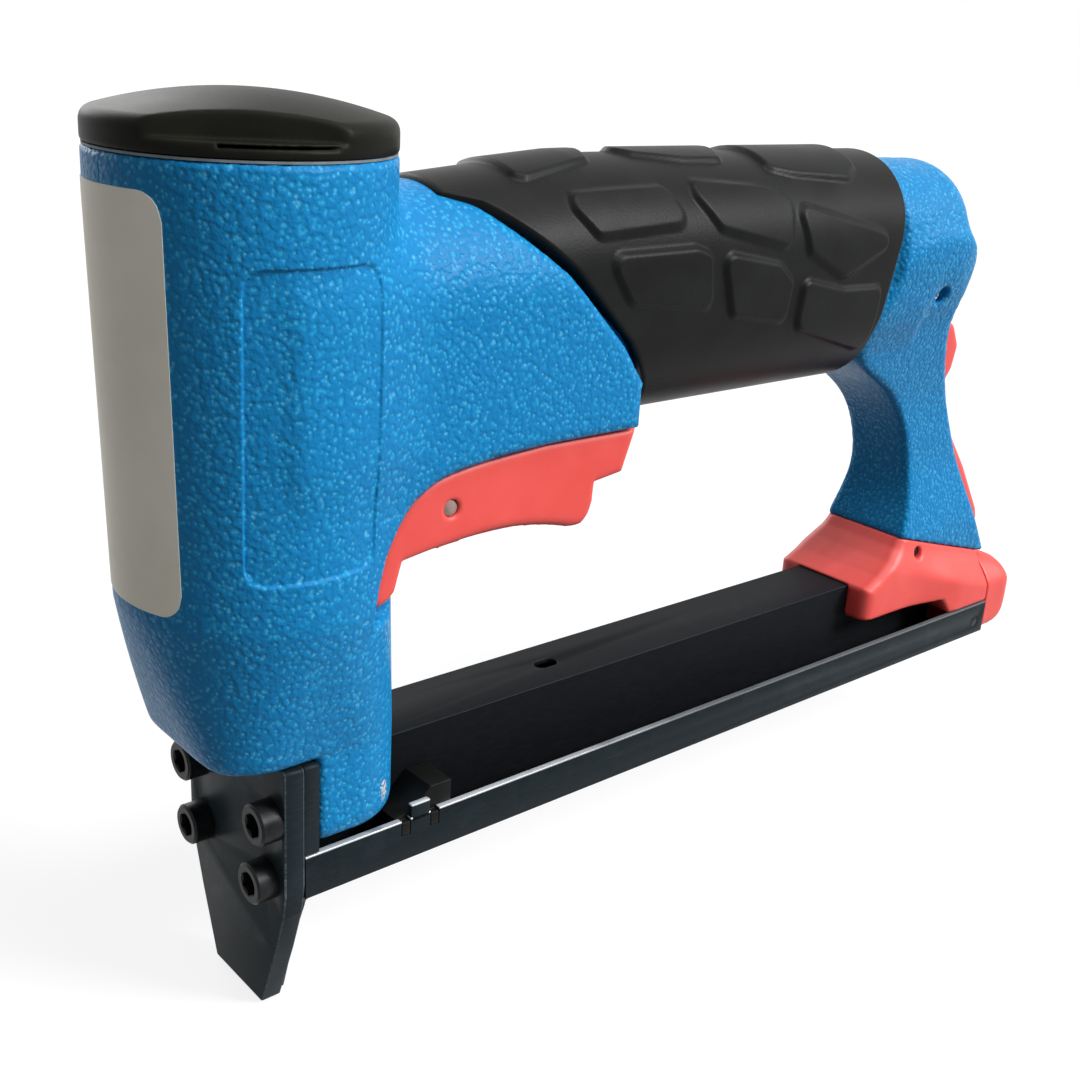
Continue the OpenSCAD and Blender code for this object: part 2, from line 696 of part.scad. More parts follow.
module inner_rail() color(steel) difference() {
    along(inner_x, inner_end - inner_x)
        translate([-inner_half, floor_z]) square([2 * inner_half, inner_top - floor_z]);
    translate([inner_x + inner_t, inner_t - inner_half, floor_z + inner_t])
        cube([far, 2 * (inner_half - inner_t), far]);
    long_bar(0, rod_z, rod_d + 2 * fit, far);
}

// Guide shoes between the rail's walls and the fixed magazine, held by tabs in the notches
module rail_guides() color(black) both_sides() {
    near_side(mag_out + gap, rail_in - slip - mag_out - gap) polygon([[shoe_x, floor_z + slip],
        [shoe_x, rail_top - 0.2], [shoe_x + 4.8, rail_top + 1.2], [shoe_x + 7.6, rail_top + shoe_rise],
        [shoe_x + shoe_l, rail_top + shoe_rise], [shoe_x + shoe_l, floor_z + slip]]);
    for (x = notch_xs) translate([x + fit, -half_w, rail_top - notch_d + fit])
        cube([notch_w - 2 * fit, rail_t + 1, notch_d - 0.6]);
}

// A saddle over the inner rail, with a tongue inside it that the spring pushes on
module pusher() color(gunmetal) difference() {
    union() {
        difference() {
            along(pusher_x, pusher_l) translate([fit - mag_in, floor_z + gap])
                square([2 * (mag_in - fit), roof_z - floor_z - 2 * gap]);
            translate([0, -inner_half - fit, 0]) cube([far, 2 * (inner_half + fit), inner_top + gap]);
        }
        translate([tongue_x, inner_t + gap - inner_half, floor_z + inner_t + gap])
            cube([pusher_x + pusher_l - tongue_x, 2 * (inner_half - inner_t - gap),
                roof_z - floor_z - inner_t - 3 * gap]);
    }
    long_bar(0, rod_z, rod_d + 2 * fit, far);
}

module pusher_rod() color(steel) long_bar(rod_x, rod_z, rod_d, plug_x + rod_seat - rod_x);

module pusher_spring() color(steel) translate([pusher_x + pusher_l + slip, 0, rod_z]) rotate([0, 90, 0])
    coil(spring_r, spring_wire, plug_x - pusher_x - pusher_l - 2 * slip, spring_turns);

module tail_cap() color(red) difference() {
    union() {
        intersection() {
            translate([0, 0, rail_z]) linear_extrude(far) polygon(soft(mirrored_x([
                [rail_end + slip, half_w - 0.2, 0], [rail_end + tail_l, half_w - 0.2, tail_r]])));
            side(far) polygon(soft([[rail_end, rail_z, 0], [rail_end + tail_l, rail_z, tail_foot_r],
                [rail_end + tail_l, tail_top, tail_top_r], [rail_end, tail_top, 0]]));
        }
        along(plug_x, plug_l + 1) translate([slip - rail_in, floor_z + slip])
            square([2 * (rail_in - slip), rail_top - floor_z - gap]);
        side(9) polygon([[rail_end + gap, tail_top - 1], [rail_end + gap, tail_top + catch_h],
            [rail_end + gap + 1.2, tail_top + catch_h], [rail_end + gap + 3, tail_top - 1]]);
    }
    long_bar(plug_x - 1, rod_z, rod_d, rod_seat + 1);
    cross_bar([rail_end - rivet_inset, rivet_z], rivet_d, far);
}

module tail_rivet() color(steel) cross_bar([rail_end - rivet_inset, rivet_z], rivet_d - slip, nose_w);

// Rear bracket and latch

module rear_bracket() color(red) difference() {
    intersection() {
        side(far) polygon(soft(concat([[bracket_x, skirt_z, 1]],
            [for (p = bracket_front) [bracket_x + p.x, mag_top + p.y, p[2]]],
            [[seam_front.x, seam_front.y - slip, 0], [bracket_end, seam_at(bracket_end) - slip, 0],
            [bracket_end, rail_top + 0.4, 0], [wide_x + 1, rail_top + 0.4, 1],
            [wide_x + 1 - step_l, skirt_z, 1]])));
        // The sides lean out from the post's foot at the seam to the skirt
        hull() {
            side(2 * post_foot) polygon([[bracket_x, seam_at(bracket_x)], [bracket_end, seam_at(bracket_end)],
                [bracket_end, seam_at(bracket_end) - slip], [bracket_x, seam_at(bracket_x) - slip]]);
            translate([bracket_x, -bracket_half, 0]) cube([wide_l, bracket_w, mag_top]);
            translate([wide_x + step_l, 0.3 - half_w, 0]) cube([wide_l - step_l, nose_w - 0.6, skirt_z]);
        }
    }
    translate([bracket_x - 1, -mag_out - slip, 0]) cube([far, 2 * (mag_out + slip), mag_top + slip]);
    post_tongue(slip);
    cross_bar(bracket_pin_at, bracket_pin_d, far);
    side(2 * slot_half) polygon(lever_room);
}

module bracket_pin() color(steel) cross_bar(bracket_pin_at, bracket_pin_d - slip, 2 * post_foot - 2 * run);

module latch_lever() color(red) difference() {
    side(lever_w) polygon(soft(lever_line));
    cross_bar(latch_pivot, latch_pin_d + 2 * slip, far);
    long_bar(latch_spring_x, latch_spring_z, 2 * latch_spring_r + latch_spring_wire + run,
        latch_spring_l + slip);
}

module latch_pin() color(steel) translate([latch_pivot.x, 2 - post_half, latch_pivot.y])
    rotate([-90, 0, 0]) cylinder(d = latch_pin_d - slip, h = post_w - 2 - run);

module latch_spring() color(steel) translate([latch_spring_x + slip, 0, latch_spring_z]) rotate([0, 90, 0])
    coil(latch_spring_r, latch_spring_wire, latch_spring_l - slip, 5);

// Air inlet

module inlet_bush() color(brass) difference() {
    long_bar(boss_end - bush_l + slip, boss_z, bush_d, bush_l + run);
    long_bar(boss_end + run - inlet_l, boss_z, inlet_d, inlet_l + 1);
    long_bar(0, boss_z, inlet_d - 3, far);
    cross_bar(inlet_pin_at, inlet_pin_d, far);
}

module inlet_pin() color(steel) cross_bar(inlet_pin_at, inlet_pin_d - slip, 2 * post_head - 3.6);

body();
head_cap();
cap_seal();
grip_sleeve();
rear_bracket();
bracket_pin();
cylinder_sleeve();
sleeve_seals();
piston();
piston_ring();
driver_blade();
bumper();
head_valve();
head_valve_seal();
head_valve_spring();
trigger();
trigger_pin();
valve_stem();
stem_seal();
valve_bush();
valve_cap();
valve_spring();
bush_seals();
nose_plate();
driver_guide();
nose_screws();
fixed_magazine();
slide_rail();
inner_rail();
rail_guides();
pusher();
pusher_rod();
pusher_spring();
tail_cap();
tail_rivet();
latch_lever();
latch_pin();
latch_spring();
inlet_bush();
inlet_pin();
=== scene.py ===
"""Looks of a pneumatic upholstery stapler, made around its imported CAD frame.

Shapes are worked out in millimetres in the frame's own axes: X runs back along the
magazine, Y across the tool and Z up. Meshes are written in metres.
"""
import contextlib
import functools
import json
import math
from collections import namedtuple

import bmesh
import bpy
import numpy as np
from bpy.props import FloatProperty, FloatVectorProperty, PointerProperty
from mathutils import Euler, Matrix, Vector

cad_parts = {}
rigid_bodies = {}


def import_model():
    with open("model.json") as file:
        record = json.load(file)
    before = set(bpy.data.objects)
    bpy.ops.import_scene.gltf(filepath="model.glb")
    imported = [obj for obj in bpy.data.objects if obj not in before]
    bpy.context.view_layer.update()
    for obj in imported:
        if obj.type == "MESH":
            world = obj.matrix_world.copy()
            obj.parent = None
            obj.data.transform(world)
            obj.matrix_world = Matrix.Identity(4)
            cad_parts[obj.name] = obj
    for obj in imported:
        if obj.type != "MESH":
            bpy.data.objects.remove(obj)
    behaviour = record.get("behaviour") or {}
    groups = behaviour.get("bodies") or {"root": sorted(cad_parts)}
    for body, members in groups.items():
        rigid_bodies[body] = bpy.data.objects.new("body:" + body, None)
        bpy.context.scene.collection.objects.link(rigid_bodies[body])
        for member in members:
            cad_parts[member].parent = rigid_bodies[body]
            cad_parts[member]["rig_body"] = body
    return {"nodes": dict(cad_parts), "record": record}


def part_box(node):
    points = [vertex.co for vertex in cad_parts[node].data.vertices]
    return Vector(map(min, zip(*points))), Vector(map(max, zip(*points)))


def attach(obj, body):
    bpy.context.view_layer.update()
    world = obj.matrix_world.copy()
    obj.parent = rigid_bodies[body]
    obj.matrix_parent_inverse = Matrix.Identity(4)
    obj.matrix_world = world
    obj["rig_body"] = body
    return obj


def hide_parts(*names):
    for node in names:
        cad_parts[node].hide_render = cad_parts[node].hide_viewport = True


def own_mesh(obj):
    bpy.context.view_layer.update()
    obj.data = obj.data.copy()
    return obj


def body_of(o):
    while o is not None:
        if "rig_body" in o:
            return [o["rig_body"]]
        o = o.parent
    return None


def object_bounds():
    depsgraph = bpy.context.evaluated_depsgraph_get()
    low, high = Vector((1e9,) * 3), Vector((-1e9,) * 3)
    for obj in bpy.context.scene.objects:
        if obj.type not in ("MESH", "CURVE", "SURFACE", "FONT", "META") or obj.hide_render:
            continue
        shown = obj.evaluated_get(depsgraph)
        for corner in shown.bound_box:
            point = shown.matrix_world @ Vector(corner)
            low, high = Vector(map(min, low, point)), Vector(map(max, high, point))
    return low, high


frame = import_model()
CAD_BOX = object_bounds()

bl_info = {
    "name": "Upholstery stapler looks",
    "version": (1, 0, 0),
    "blender": (4, 5, 0),
    "location": "3D View > Sidebar > Stapler",
    "description": "Dresses the packed frame of a pneumatic upholstery stapler",
    "category": "Object",
}

MM = 0.001
WHITE = (1, 1, 1, 1)
Corner = namedtuple("Corner", "x y z")


def extent(node):
    """A CAD node's lowest and highest corner in millimetres."""
    return [Corner(*(c / MM for c in corner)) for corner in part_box(node)]


# Places taken from the frame
HEAD_R = extent("head_cap")[1].y
HEAD_Z = extent("body")[1].z
CAP_Z = extent("head_cap")[1].z
PLUG_Z = extent("head_cap")[0].z
REAR_X = extent("slide_rail")[1].x
HALF_W = extent("slide_rail")[1].y
RAIL_Z = extent("slide_rail")[0].z
RAIL_TOP = extent("slide_rail")[1].z
MAG_OUT = extent("fixed_magazine")[1].y
MAG_TOP = extent("fixed_magazine")[1].z
NOSE_BACK = extent("driver_guide")[1].x
LIP_Z = extent("nose_plate")[1].z + 0.5
SEAT_Z = extent("cylinder_sleeve")[0].z
TRIGGER_W = extent("trigger")[1].y
TRIGGER_IN = TRIGGER_W - 1.9
LUG_HALF = TRIGGER_IN - 0.2
BUSH_X = extent("inlet_bush")[0].x
BUSH_END = extent("inlet_bush")[1].x
BUSH_R = extent("inlet_bush")[1].y
BOSS_Z = (extent("inlet_bush")[0].z + extent("inlet_bush")[1].z) / 2
BRACKET_X = extent("rear_bracket")[0].x
BRACKET_END = extent("rear_bracket")[1].x
LEVER_HALF = extent("latch_lever")[1].y
TAIL_END = extent("tail_cap")[1].x


def middle(node):
    """Side view centre of a cross pin."""
    low, high = extent(node)
    return (low.x + high.x) / 2, (low.z + high.z) / 2


PIVOT = middle("trigger_pin")
LATCH_PIVOT = middle("latch_pin")
BRACKET_PIN = middle("bracket_pin")
INLET_PIN = middle("inlet_pin")
TAIL_RIVET = middle("tail_rivet")
ROD = (0.0, middle("pusher_rod")[1])
VALVE_X = middle("valve_stem")[0]

# Sizes of the body and of what is cut into it; FIT is the play of parts that fit each other
FIT = 0.05
PIN_R = 1.5
SLEEVE_R, BORE_R, BORE_Z = 15.5, 17.5, SEAT_Z + 14
BLADE_SLOT = (1.6, 7.3)
WAIST_Z, FULL_Z = 77, 140
FOOT_Z, FOOT_FLAT, FOOT_SLOPE = RAIL_TOP + 1.3, (7, 3.8), (26.2, 9.2)
PANEL = ((-11.3, 85.3), (10.5, 132.5), 3.0)
WEB_ROUND_Z, WEB_ROUND_R, WEB_UNDER = 123.1, 18.6, 98.6
CORE_X, CORE_Z, CORE_FLAT, CORE_R = 10, 121, 5.1, 15.2
BOSS_X, BOSS_R = REAR_X - 56.2, 16.6
AIR_WAY_Z, AIR_WAY_R = 122, 11.5
VALVE_R = 7.0
TONGUE_LONG, TONGUE_WIDE, TONGUE_LIFT = 5.2, 6, 1.2
LATCH_SEAT, LATCH_SEAT_R, LATCH_SEAT_X = (0, 97.6), 3.2, (REAR_X - 39.4, REAR_X - 27.4)
LATCH_PIN_END = -6.4
OPEN_X, OPEN_Z = 88.5, 73.4
TRIGGER_TURN, TRIGGER_GAP, POCKET_TOP = 6, (-0.5, 0.6), 104.6
HIGH_SCREW, LOW_SCREW = (12.9, LIP_Z - 10.7), (11.2, LIP_Z - 22.9)
SCREW_HOLE_R, SCREW_HOLE_END = 2.5, 12

# Details: rail teeth, bare chip, the cap with its outlet, and the tread pads' edges
TOOTH_X, TOOTH_H = (22.0, 26.1), 2.6
CHIP, CHIP_STRETCH = (17.2, -14.9, 39.6), (1, 1, 0.55)
CAP_WALL = 4.5
OUTLET_WAY, OUTLET_FACE, OUTLET_LEDGE = (-0.462, -0.887), 18.4, 2.2
OUTLET_LEAN, OUTLET_SLOT = 0.12, (-4, 13.4)
PAD_EDGE = 1.3

# Side outlines, x and z; a third number is the corner's radius. The post's, the lever's and the
# seam's are measured from the rail's rear end, and the bracket tip's from where it meets the magazine.
WEB_FRONT = [(28.5, 141.7), (35, 139.5), (50.6, 127.7), (64.3, 114.3), (70.5, 105.8)]
GRIP_FRONT = [(29.5, 142.4), (36, 140.2), (51.6, 128.4), (65.3, 115), (71.5, 106.5), (75.5, 99.4)]
GRIP_REAR = [(146.65, 150), (146.05, 143), (140.65, 120), (138.05, 109), (138.65, 90)]
TRIGGER_EDGE = [(12.7, 75.9), (14.7, 83.6), (17.2, 88.4), (20.7, 92.4), (24.5, 94.7),
                (28.4, 95.9), (36.4, 97), (48.9, 97.8), (69.2, 97.8)]
TRIGGER_UNDER = [(67.4, 90.1), (60.8, 89.2), (60.6, 85.9), (59.7, 83), (57.2, 81.3),
                 (50, 83.3), (41.3, 84.5), (33, 84.3), (24.9, 83.4), (18.9, 82.5),
                 (17.5, 77.6), (16.2, 76.2), (13.9, 75.2)]
POST_LINE = [(-53.4, 126), (-58, 114), (-62, 104.5), (-59.6, 100.5), (-52.2, 96.2), (-46.4, 93.2),
             (-40.4, 88.4), (-36.3, 83), (-33.7, 77.5), (-32, 71), (-31.7, 66), (-32.6, 60.5),
             (-36.5, 49.3), (7.2, 38.8), (-1.8, 53), (-7.2, 63), (-11.2, 71), (-15.8, 79.3),
             (-20.6, 88.6), (-25.4, 97), (-28.6, 104), (-30.2, 110.3), (-30.6, 116), (-30.6, 126)]
LUG_LINE = [(10, 87.2), (25.2, 87.2), (33.6, 90.2), (67, 90.2), (67, 105.8), (10, 105.8)]
# Half width of the post by height, and the same with its bends smoothed
POST_WIDTH = [(40, 11.8), (55, 11.8), (71, 8.4), (88, 8.4), (104, 11.6), (116, 14.6), (130, 15.4)]
POST_Z = np.linspace(30, 140, 221)
POST_HALF = np.interp(POST_Z, *zip(*POST_WIDTH))
POST_HALF[15:-15] = np.convolve(POST_HALF, np.hanning(31) / np.hanning(31).sum(), "valid")
# The latch lever, its room, the seam over the bracket and the bracket's front
LEVER_LINE = [(-27.2, 106.4, 2), (-31.4, 99, 1.5), (-29, 90, 0), (-27.2, 82.5, 3),
              (-22.4, 73.5, 6), (-14, 61.5, 0), (-1.8, 47.6, 0.5), (1.6, 46.4, 0.8),
              (8.4, 51, 1.2), (7.2, 54.2, 2), (-2, 67, 12), (-11, 77.5, 8), (-20, 86.6, 4),
              (-15, 93.6, 3), (-13.8, 99.4, 3), (-16.8, 104.8, 3), (-23.4, 107.6, 1.5)]
LEVER_ROOM = [(-31.6, 109), (-35.2, 99), (-31.4, 88.3), (-28.6, 81.8), (-23.2, 72.8),
              (-14.8, 60.8), (-2.8, 46.8), (-2.8, 40), (26, 40), (26, 109)]
SEAM = ((-34.4, 55.3), (3.5, 44.6))
BRACKET_TIP = [(0, 0.5, 1), (4.8, 2.7, 4), (9.2, 5.5, 6), (12.2, 8.1, 4)]
SIDE_PADS = [
    [(50.8, 140.2, 2), (75.6, 140.5, 2), (79.5, 134.2, 2), (56.9, 133.1, 2)],
    [(80, 141.6, 2), (101.7, 139.9, 3), (108.2, 137.9, 2), (105.8, 128.8, 2), (86.9, 133.1, 2)],
    [(109, 137.1, 2), (133, 131.4, 2), (140, 129, 2), (123.3, 122, 3), (111.5, 127.7, 2)],
    [(58.3, 130.3, 2), (80, 130.5, 2), (84.1, 129.2, 2), (85.5, 118.9, 2), (64.5, 121.4, 3)],
    [(87, 129.3, 2), (103.4, 126.3, 2), (107.8, 122.5, 2), (106.5, 114.7, 2), (90.8, 117.2, 2)],
    [(111, 122.9, 2), (123.7, 120.1, 2), (136.4, 119.8, 2), (135, 106, 2), (109.7, 113.1, 3)]]
# Halves of the pads on the grip's top: x, distance round the grip and corner radius
TOP_PAD_HALVES = [
    [(45, -8.6, 2), (47.3, -9.7, 1), (63.5, -5.9, 2), (66, 0, 4)],
    [(72.6, 0, 3), (75.9, -4.3, 2), (86, -7, 3), (96.2, -7.4, 2), (99.5, 0, 4)],
    [(106.9, -2.7, 1), (106.5, -10.3, 2), (112.5, -12, 2), (128.3, -13.7, 3), (133.2, -10.1, 2),
     (134.2, 0, 3)]]


def from_rear(line):
    """An outline given from the rail's rear end, in the frame's place."""
    return [(p[0] + REAR_X,) + tuple(p[1:]) for p in line]


def shifted(line, dx, dz):
    """An outline moved along and up."""
    return [(p[0] + dx, p[1] + dz) for p in line]


def both_halves(line):
    """A whole outline from its half on one side of the tool's middle."""
    return line + [(x, -w, r) for x, w, r in reversed(line) if w]


def soft(line, steps=6):
    """An outline of (x, z, radius) points with each corner turned into an arc."""
    out = []
    for i, (px, pz, r) in enumerate(line):
        p = np.array((px, pz), float)
        if r <= 0:
            out.append((px, pz))
            continue
        u, v = (np.array(line[j][:2], float) - p for j in (i - 1, (i + 1) % len(line)))
        u, v = u / np.hypot(*u), v / np.hypot(*v)
        half = math.acos(float(np.clip(u @ v, -1, 1))) / 2
        centre = p + (u + v) / np.hypot(*(u + v)) * r / math.sin(half)
        first, last = (p + w * r / math.tan(half) - centre for w in (u, v))
        start = math.atan2(first[1], first[0])
        turn = (math.atan2(last[1], last[0]) - start + 3 * math.pi) % (2 * math.pi) - math.pi
        out += [tuple(centre + r * np.array((math.cos(start + turn * k / steps),
                                             math.sin(start + turn * k / steps))))
                for k in range(steps + 1)]
    return out


def flowing(line, closed=True, rounds=2):
    """An outline whose corners are cut until it runs smoothly; an open one keeps its ends."""
    for _ in range(rounds):
        pairs = zip(line, line[1:] + line[:1]) if closed else zip(line, line[1:])
        cut = [tuple(a + (b - a) * t for a, b in zip(p, q)) for p, q in pairs for t in (0.25, 0.75)]
        line = cut if closed else line[:1] + cut + line[-1:]
    return line


def seam_at(x):
    """Height of the seam between the post and the red bracket."""
    (x0, z0), (x1, z1) = from_rear(SEAM)
    return z0 + (x - x0) * (z1 - z0) / (x1 - x0)


# Distances to surfaces, in millimetres, negative inside

def union(*parts):
    """What lies in any of the parts."""
    return functools.reduce(np.minimum, parts)


def overlap(*parts):
    """What lies in all of the parts."""
    return functools.reduce(np.maximum, parts)


def smooth_union(a, b, k):
    """Union whose seam is rounded over about k millimetres."""
    h = np.maximum(k - np.abs(a - b), 0) / k
    return np.minimum(a, b) - h * h * k / 4


def smooth_overlap(a, b, k):
    """Overlap whose edge is rounded over about k millimetres."""
    return -smooth_union(-a, -b, k)


def smooth_cut(a, b, k):
    """The first shape without the second, with a rounded edge."""
    return -smooth_union(-a, b, k)


def outline(line, u, w):
    """Distance to a closed outline, negative inside."""
    far = np.full(np.broadcast(u, w).shape, np.inf)
    inside = np.zeros(far.shape, bool)
    for (u0, w0), (u1, w1) in zip(line, line[1:] + line[:1]):
        du, dw = u1 - u0, w1 - w0
        t = np.clip(((u - u0) * du + (w - w0) * dw) / (du * du + dw * dw), 0, 1)
        far = np.minimum(far, (u - u0 - t * du) ** 2 + (w - w0 - t * dw) ** 2)
        if dw:
            inside ^= ((w0 > w) != (w1 > w)) & (u < u0 + (w - w0) * du / dw)
    return np.where(inside, -1, 1) * np.sqrt(far)


def slab(u, low, high):
    """A layer between two planes."""
    return np.maximum(low - u, u - high)


def bar(u, w, at, r):
    """An endless round bar about a point of the plane."""
    return np.hypot(u - at[0], w - at[1]) - r


def round_box(u, w, low, high, r):
    """Rectangle with round corners, from its low to its high corner."""
    qu = np.abs(u - (low[0] + high[0]) / 2) - (high[0] - low[0]) / 2 + r
    qw = np.abs(w - (low[1] + high[1]) / 2) - (high[1] - low[1]) / 2 + r
    return np.hypot(np.maximum(qu, 0), np.maximum(qw, 0)) + np.minimum(np.maximum(qu, qw), 0) - r


def ease(t):
    """A soft step from 0 to 1."""
    t = np.clip(t, 0, 1)
    return t * t * (3 - 2 * t)


def ticks(low, high, cell, bands=()):
    """Grid places from low to high, closer together within each (low, high, cell) band."""
    out = [low - 2 * cell]
    while out[-1] < high + 2 * cell:
        here = out[-1]
        step = min([c for a, b, c in bands if a <= here <= b] + [cell])
        out.append(min([a for a, b, c in bands if a > here] + [here + step]))
    return np.array(out)


def skin(name, field, node, cell, bands=((), (), ()), passes=3):
    """A mesh of the surface where the field is zero, in a CAD node's box, drawn onto the surface."""
    low, high = extent(node)
    axes = [ticks(low[d], high[d], cell, bands[d]) for d in range(3)]
    shape = tuple(len(a) for a in axes)
    value = field(*np.ix_(*axes)) + np.zeros(shape)
    rings, spots = [], []
    for axis in range(3):
        first, second = [slice(None)] * 3, [slice(None)] * 3
        first[axis], second[axis] = slice(0, -1), slice(1, None)
        v0, v1 = value[tuple(first)], value[tuple(second)]
        at = np.argwhere((v0 < 0) != (v1 < 0))
        a, b = v0[tuple(at.T)], v1[tuple(at.T)]
        spot = at.astype(float)
        spot[:, axis] += a / (a - b)
        ring = []
        for du, dw in ((0, 0), (1, 0), (1, 1), (0, 1)):
            corner = at.copy()
            corner[:, (axis + 1) % 3] -= du
            corner[:, (axis + 2) % 3] -= dw
            ring.append(np.ravel_multi_index(corner.T, shape))
        ring = np.stack(ring, 1)
        ring[a >= 0] = ring[a >= 0][:, ::-1]
        rings.append(ring)
        spots.append(np.repeat(spot, 4, 0))
    rings, spots = np.concatenate(rings), np.concatenate(spots)
    cells, index = np.unique(rings.ravel(), return_inverse=True)
    count = np.bincount(index)
    points = np.stack([np.interp(np.bincount(index, spots[:, d]) / count, np.arange(shape[d]), axes[d])
                       for d in range(3)], 1)
    small = 0.2 * cell
    for _ in range(passes):
        here = field(*points.T)
        slope = np.stack([(field(*(points + small * e).T) - field(*(points - small * e).T)) / (2 * small)
                          for e in np.eye(3)], 1)
        steep = np.maximum((slope ** 2).sum(1), 0.2)
        points -= np.clip(here / steep, -0.5 * cell, 0.5 * cell)[:, None] * slope
    return mesh_piece(name, points, np.searchsorted(cells, rings))


def piece(name, data):
    """An object of a mesh, lamp or camera, put in the scene."""
    obj = bpy.data.objects.new(name, data)
    bpy.context.collection.objects.link(obj)
    return obj


def mesh_piece(name, points, faces):
    """A smooth shaded object from points in millimetres."""
    mesh = bpy.data.meshes.new(name)
    mesh.from_pydata((np.asarray(points) * MM).tolist(), [], np.asarray(faces).tolist())
    mesh.validate()
    mesh.shade_smooth()
    return piece(name, mesh)


def ring_faces(count, around):
    """Quads of a closed tube of rings whose last ring meets the first."""
    grid = np.arange(count * around).reshape(count, around)
    onward = np.roll(grid, -1, 0)
    return np.stack([grid, np.roll(grid, -1, 1), np.roll(onward, -1, 1), onward], 2).reshape(-1, 4)


@contextlib.contextmanager
def editing(mesh):
    """A bmesh of a mesh, written back when the block ends."""
    work = bmesh.new()
    work.from_mesh(mesh)
    yield work
    work.to_mesh(mesh)
    work.free()


def smoothed(mesh, angle):
    """Smooth shading that keeps edges past an angle sharp."""
    mesh.shade_smooth()
    mesh.set_sharp_from_angle(angle=math.radians(angle))


def assign(target, **settings):
    """Sets attributes and returns their owner."""
    for key, value in settings.items():
        setattr(target, key, value)
    return target


def plain(obj):
    """Turns an object with modifiers into a plain mesh and removes the modifiers."""
    bpy.context.view_layer.update()
    done = bpy.data.meshes.new_from_object(obj.evaluated_get(bpy.context.evaluated_depsgraph_get()))
    obj.modifiers.clear()
    obj.data = done
    return obj


def softened(node, width, edge_slot=0):
    """A merged copy of a CAD node with its edges bevelled; edge_slot picks the bevels' material."""
    mesh = frame["nodes"][node].data.copy()
    mesh.materials.clear()
    with editing(mesh) as work:
        bmesh.ops.remove_doubles(work, verts=work.verts, dist=2e-6)
        bmesh.ops.dissolve_limit(work, angle_limit=math.radians(1), verts=work.verts, edges=work.edges)
        for face in work.faces:
            face.material_index = 0
            face.smooth = True
    for _ in range(edge_slot + 1):
        mesh.materials.append(None)
    obj = piece(node + "_dressed", mesh)
    assign(obj.modifiers.new("edges", "BEVEL"), width=width * MM, segments=2, limit_method="ANGLE",
           angle_limit=math.radians(40), harden_normals=True, material=edge_slot or -1)
    plain(obj)
    obj.data.set_sharp_from_angle(angle=math.radians(40))
    return obj


def dress(obj, slot, coats, *nodes, body=None):
    """Gives a piece its finishes, the body that it rides on and the nodes that it stands for."""
    mesh = obj.data
    while len(mesh.materials) < len(coats):
        mesh.materials.append(None)
    for i, coat in enumerate(coats):
        mesh.materials[i] = coat
    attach(obj, body or body_of(frame["nodes"][nodes[0]])[0])
    if nodes:
        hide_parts(*nodes)
    return obj


# Finishes

def tint(code):
    """Linear colour of a six digit sRGB code."""
    parts = [int(code[i:i + 2], 16) / 255 for i in (1, 3, 5)]
    return tuple(c / 12.92 if c <= 0.04045 else ((c + 0.055) / 1.055) ** 2.4 for c in parts)


class Value:
    """A socket of a node tree, so that its maths reads as an expression."""

    def __init__(self, graph, socket):
        self.graph = graph
        self.socket = socket

    def maths(self, operation, first, second):
        return self.graph.node("ShaderNodeMath", {"operation": operation}, {0: first, 1: second})

    def __add__(self, other):
        return self.maths("ADD", self, other)

    def __sub__(self, other):
        return self.maths("SUBTRACT", self, other)

    def __rsub__(self, other):
        return self.maths("SUBTRACT", other, self)

    def __mul__(self, other):
        return self.maths("MULTIPLY", self, other)

    def __or__(self, other):
        return self.maths("MAXIMUM", self, other)

    __radd__ = __add__
    __rmul__ = __mul__


class Graph:
    """A node tree under way: node() adds any node, and feed() sets or links a socket."""

    def __init__(self, tree):
        self.tree = tree

    def feed(self, socket, value):
        for one in value if isinstance(value, list) else [value]:
            if isinstance(one, Value):
                self.tree.links.new(one.socket, socket)
            else:
                socket.default_value = one

    def node(self, kind, settings=None, inputs=None, output=0):
        made = assign(self.tree.nodes.new(kind), **(settings or {}))
        for key, value in (inputs or {}).items():
            self.feed(made.inputs[key], value)
        return Value(self, made.outputs[output])

    def seen(self):
        """One for what the camera sees, also in a reflection or through glass."""
        path = self.tree.nodes.new("ShaderNodeLightPath")
        camera, glossy, through = (Value(self, path.outputs["Is %s Ray" % kind])
                                   for kind in ("Camera", "Glossy", "Transmission"))
        return camera | glossy | through


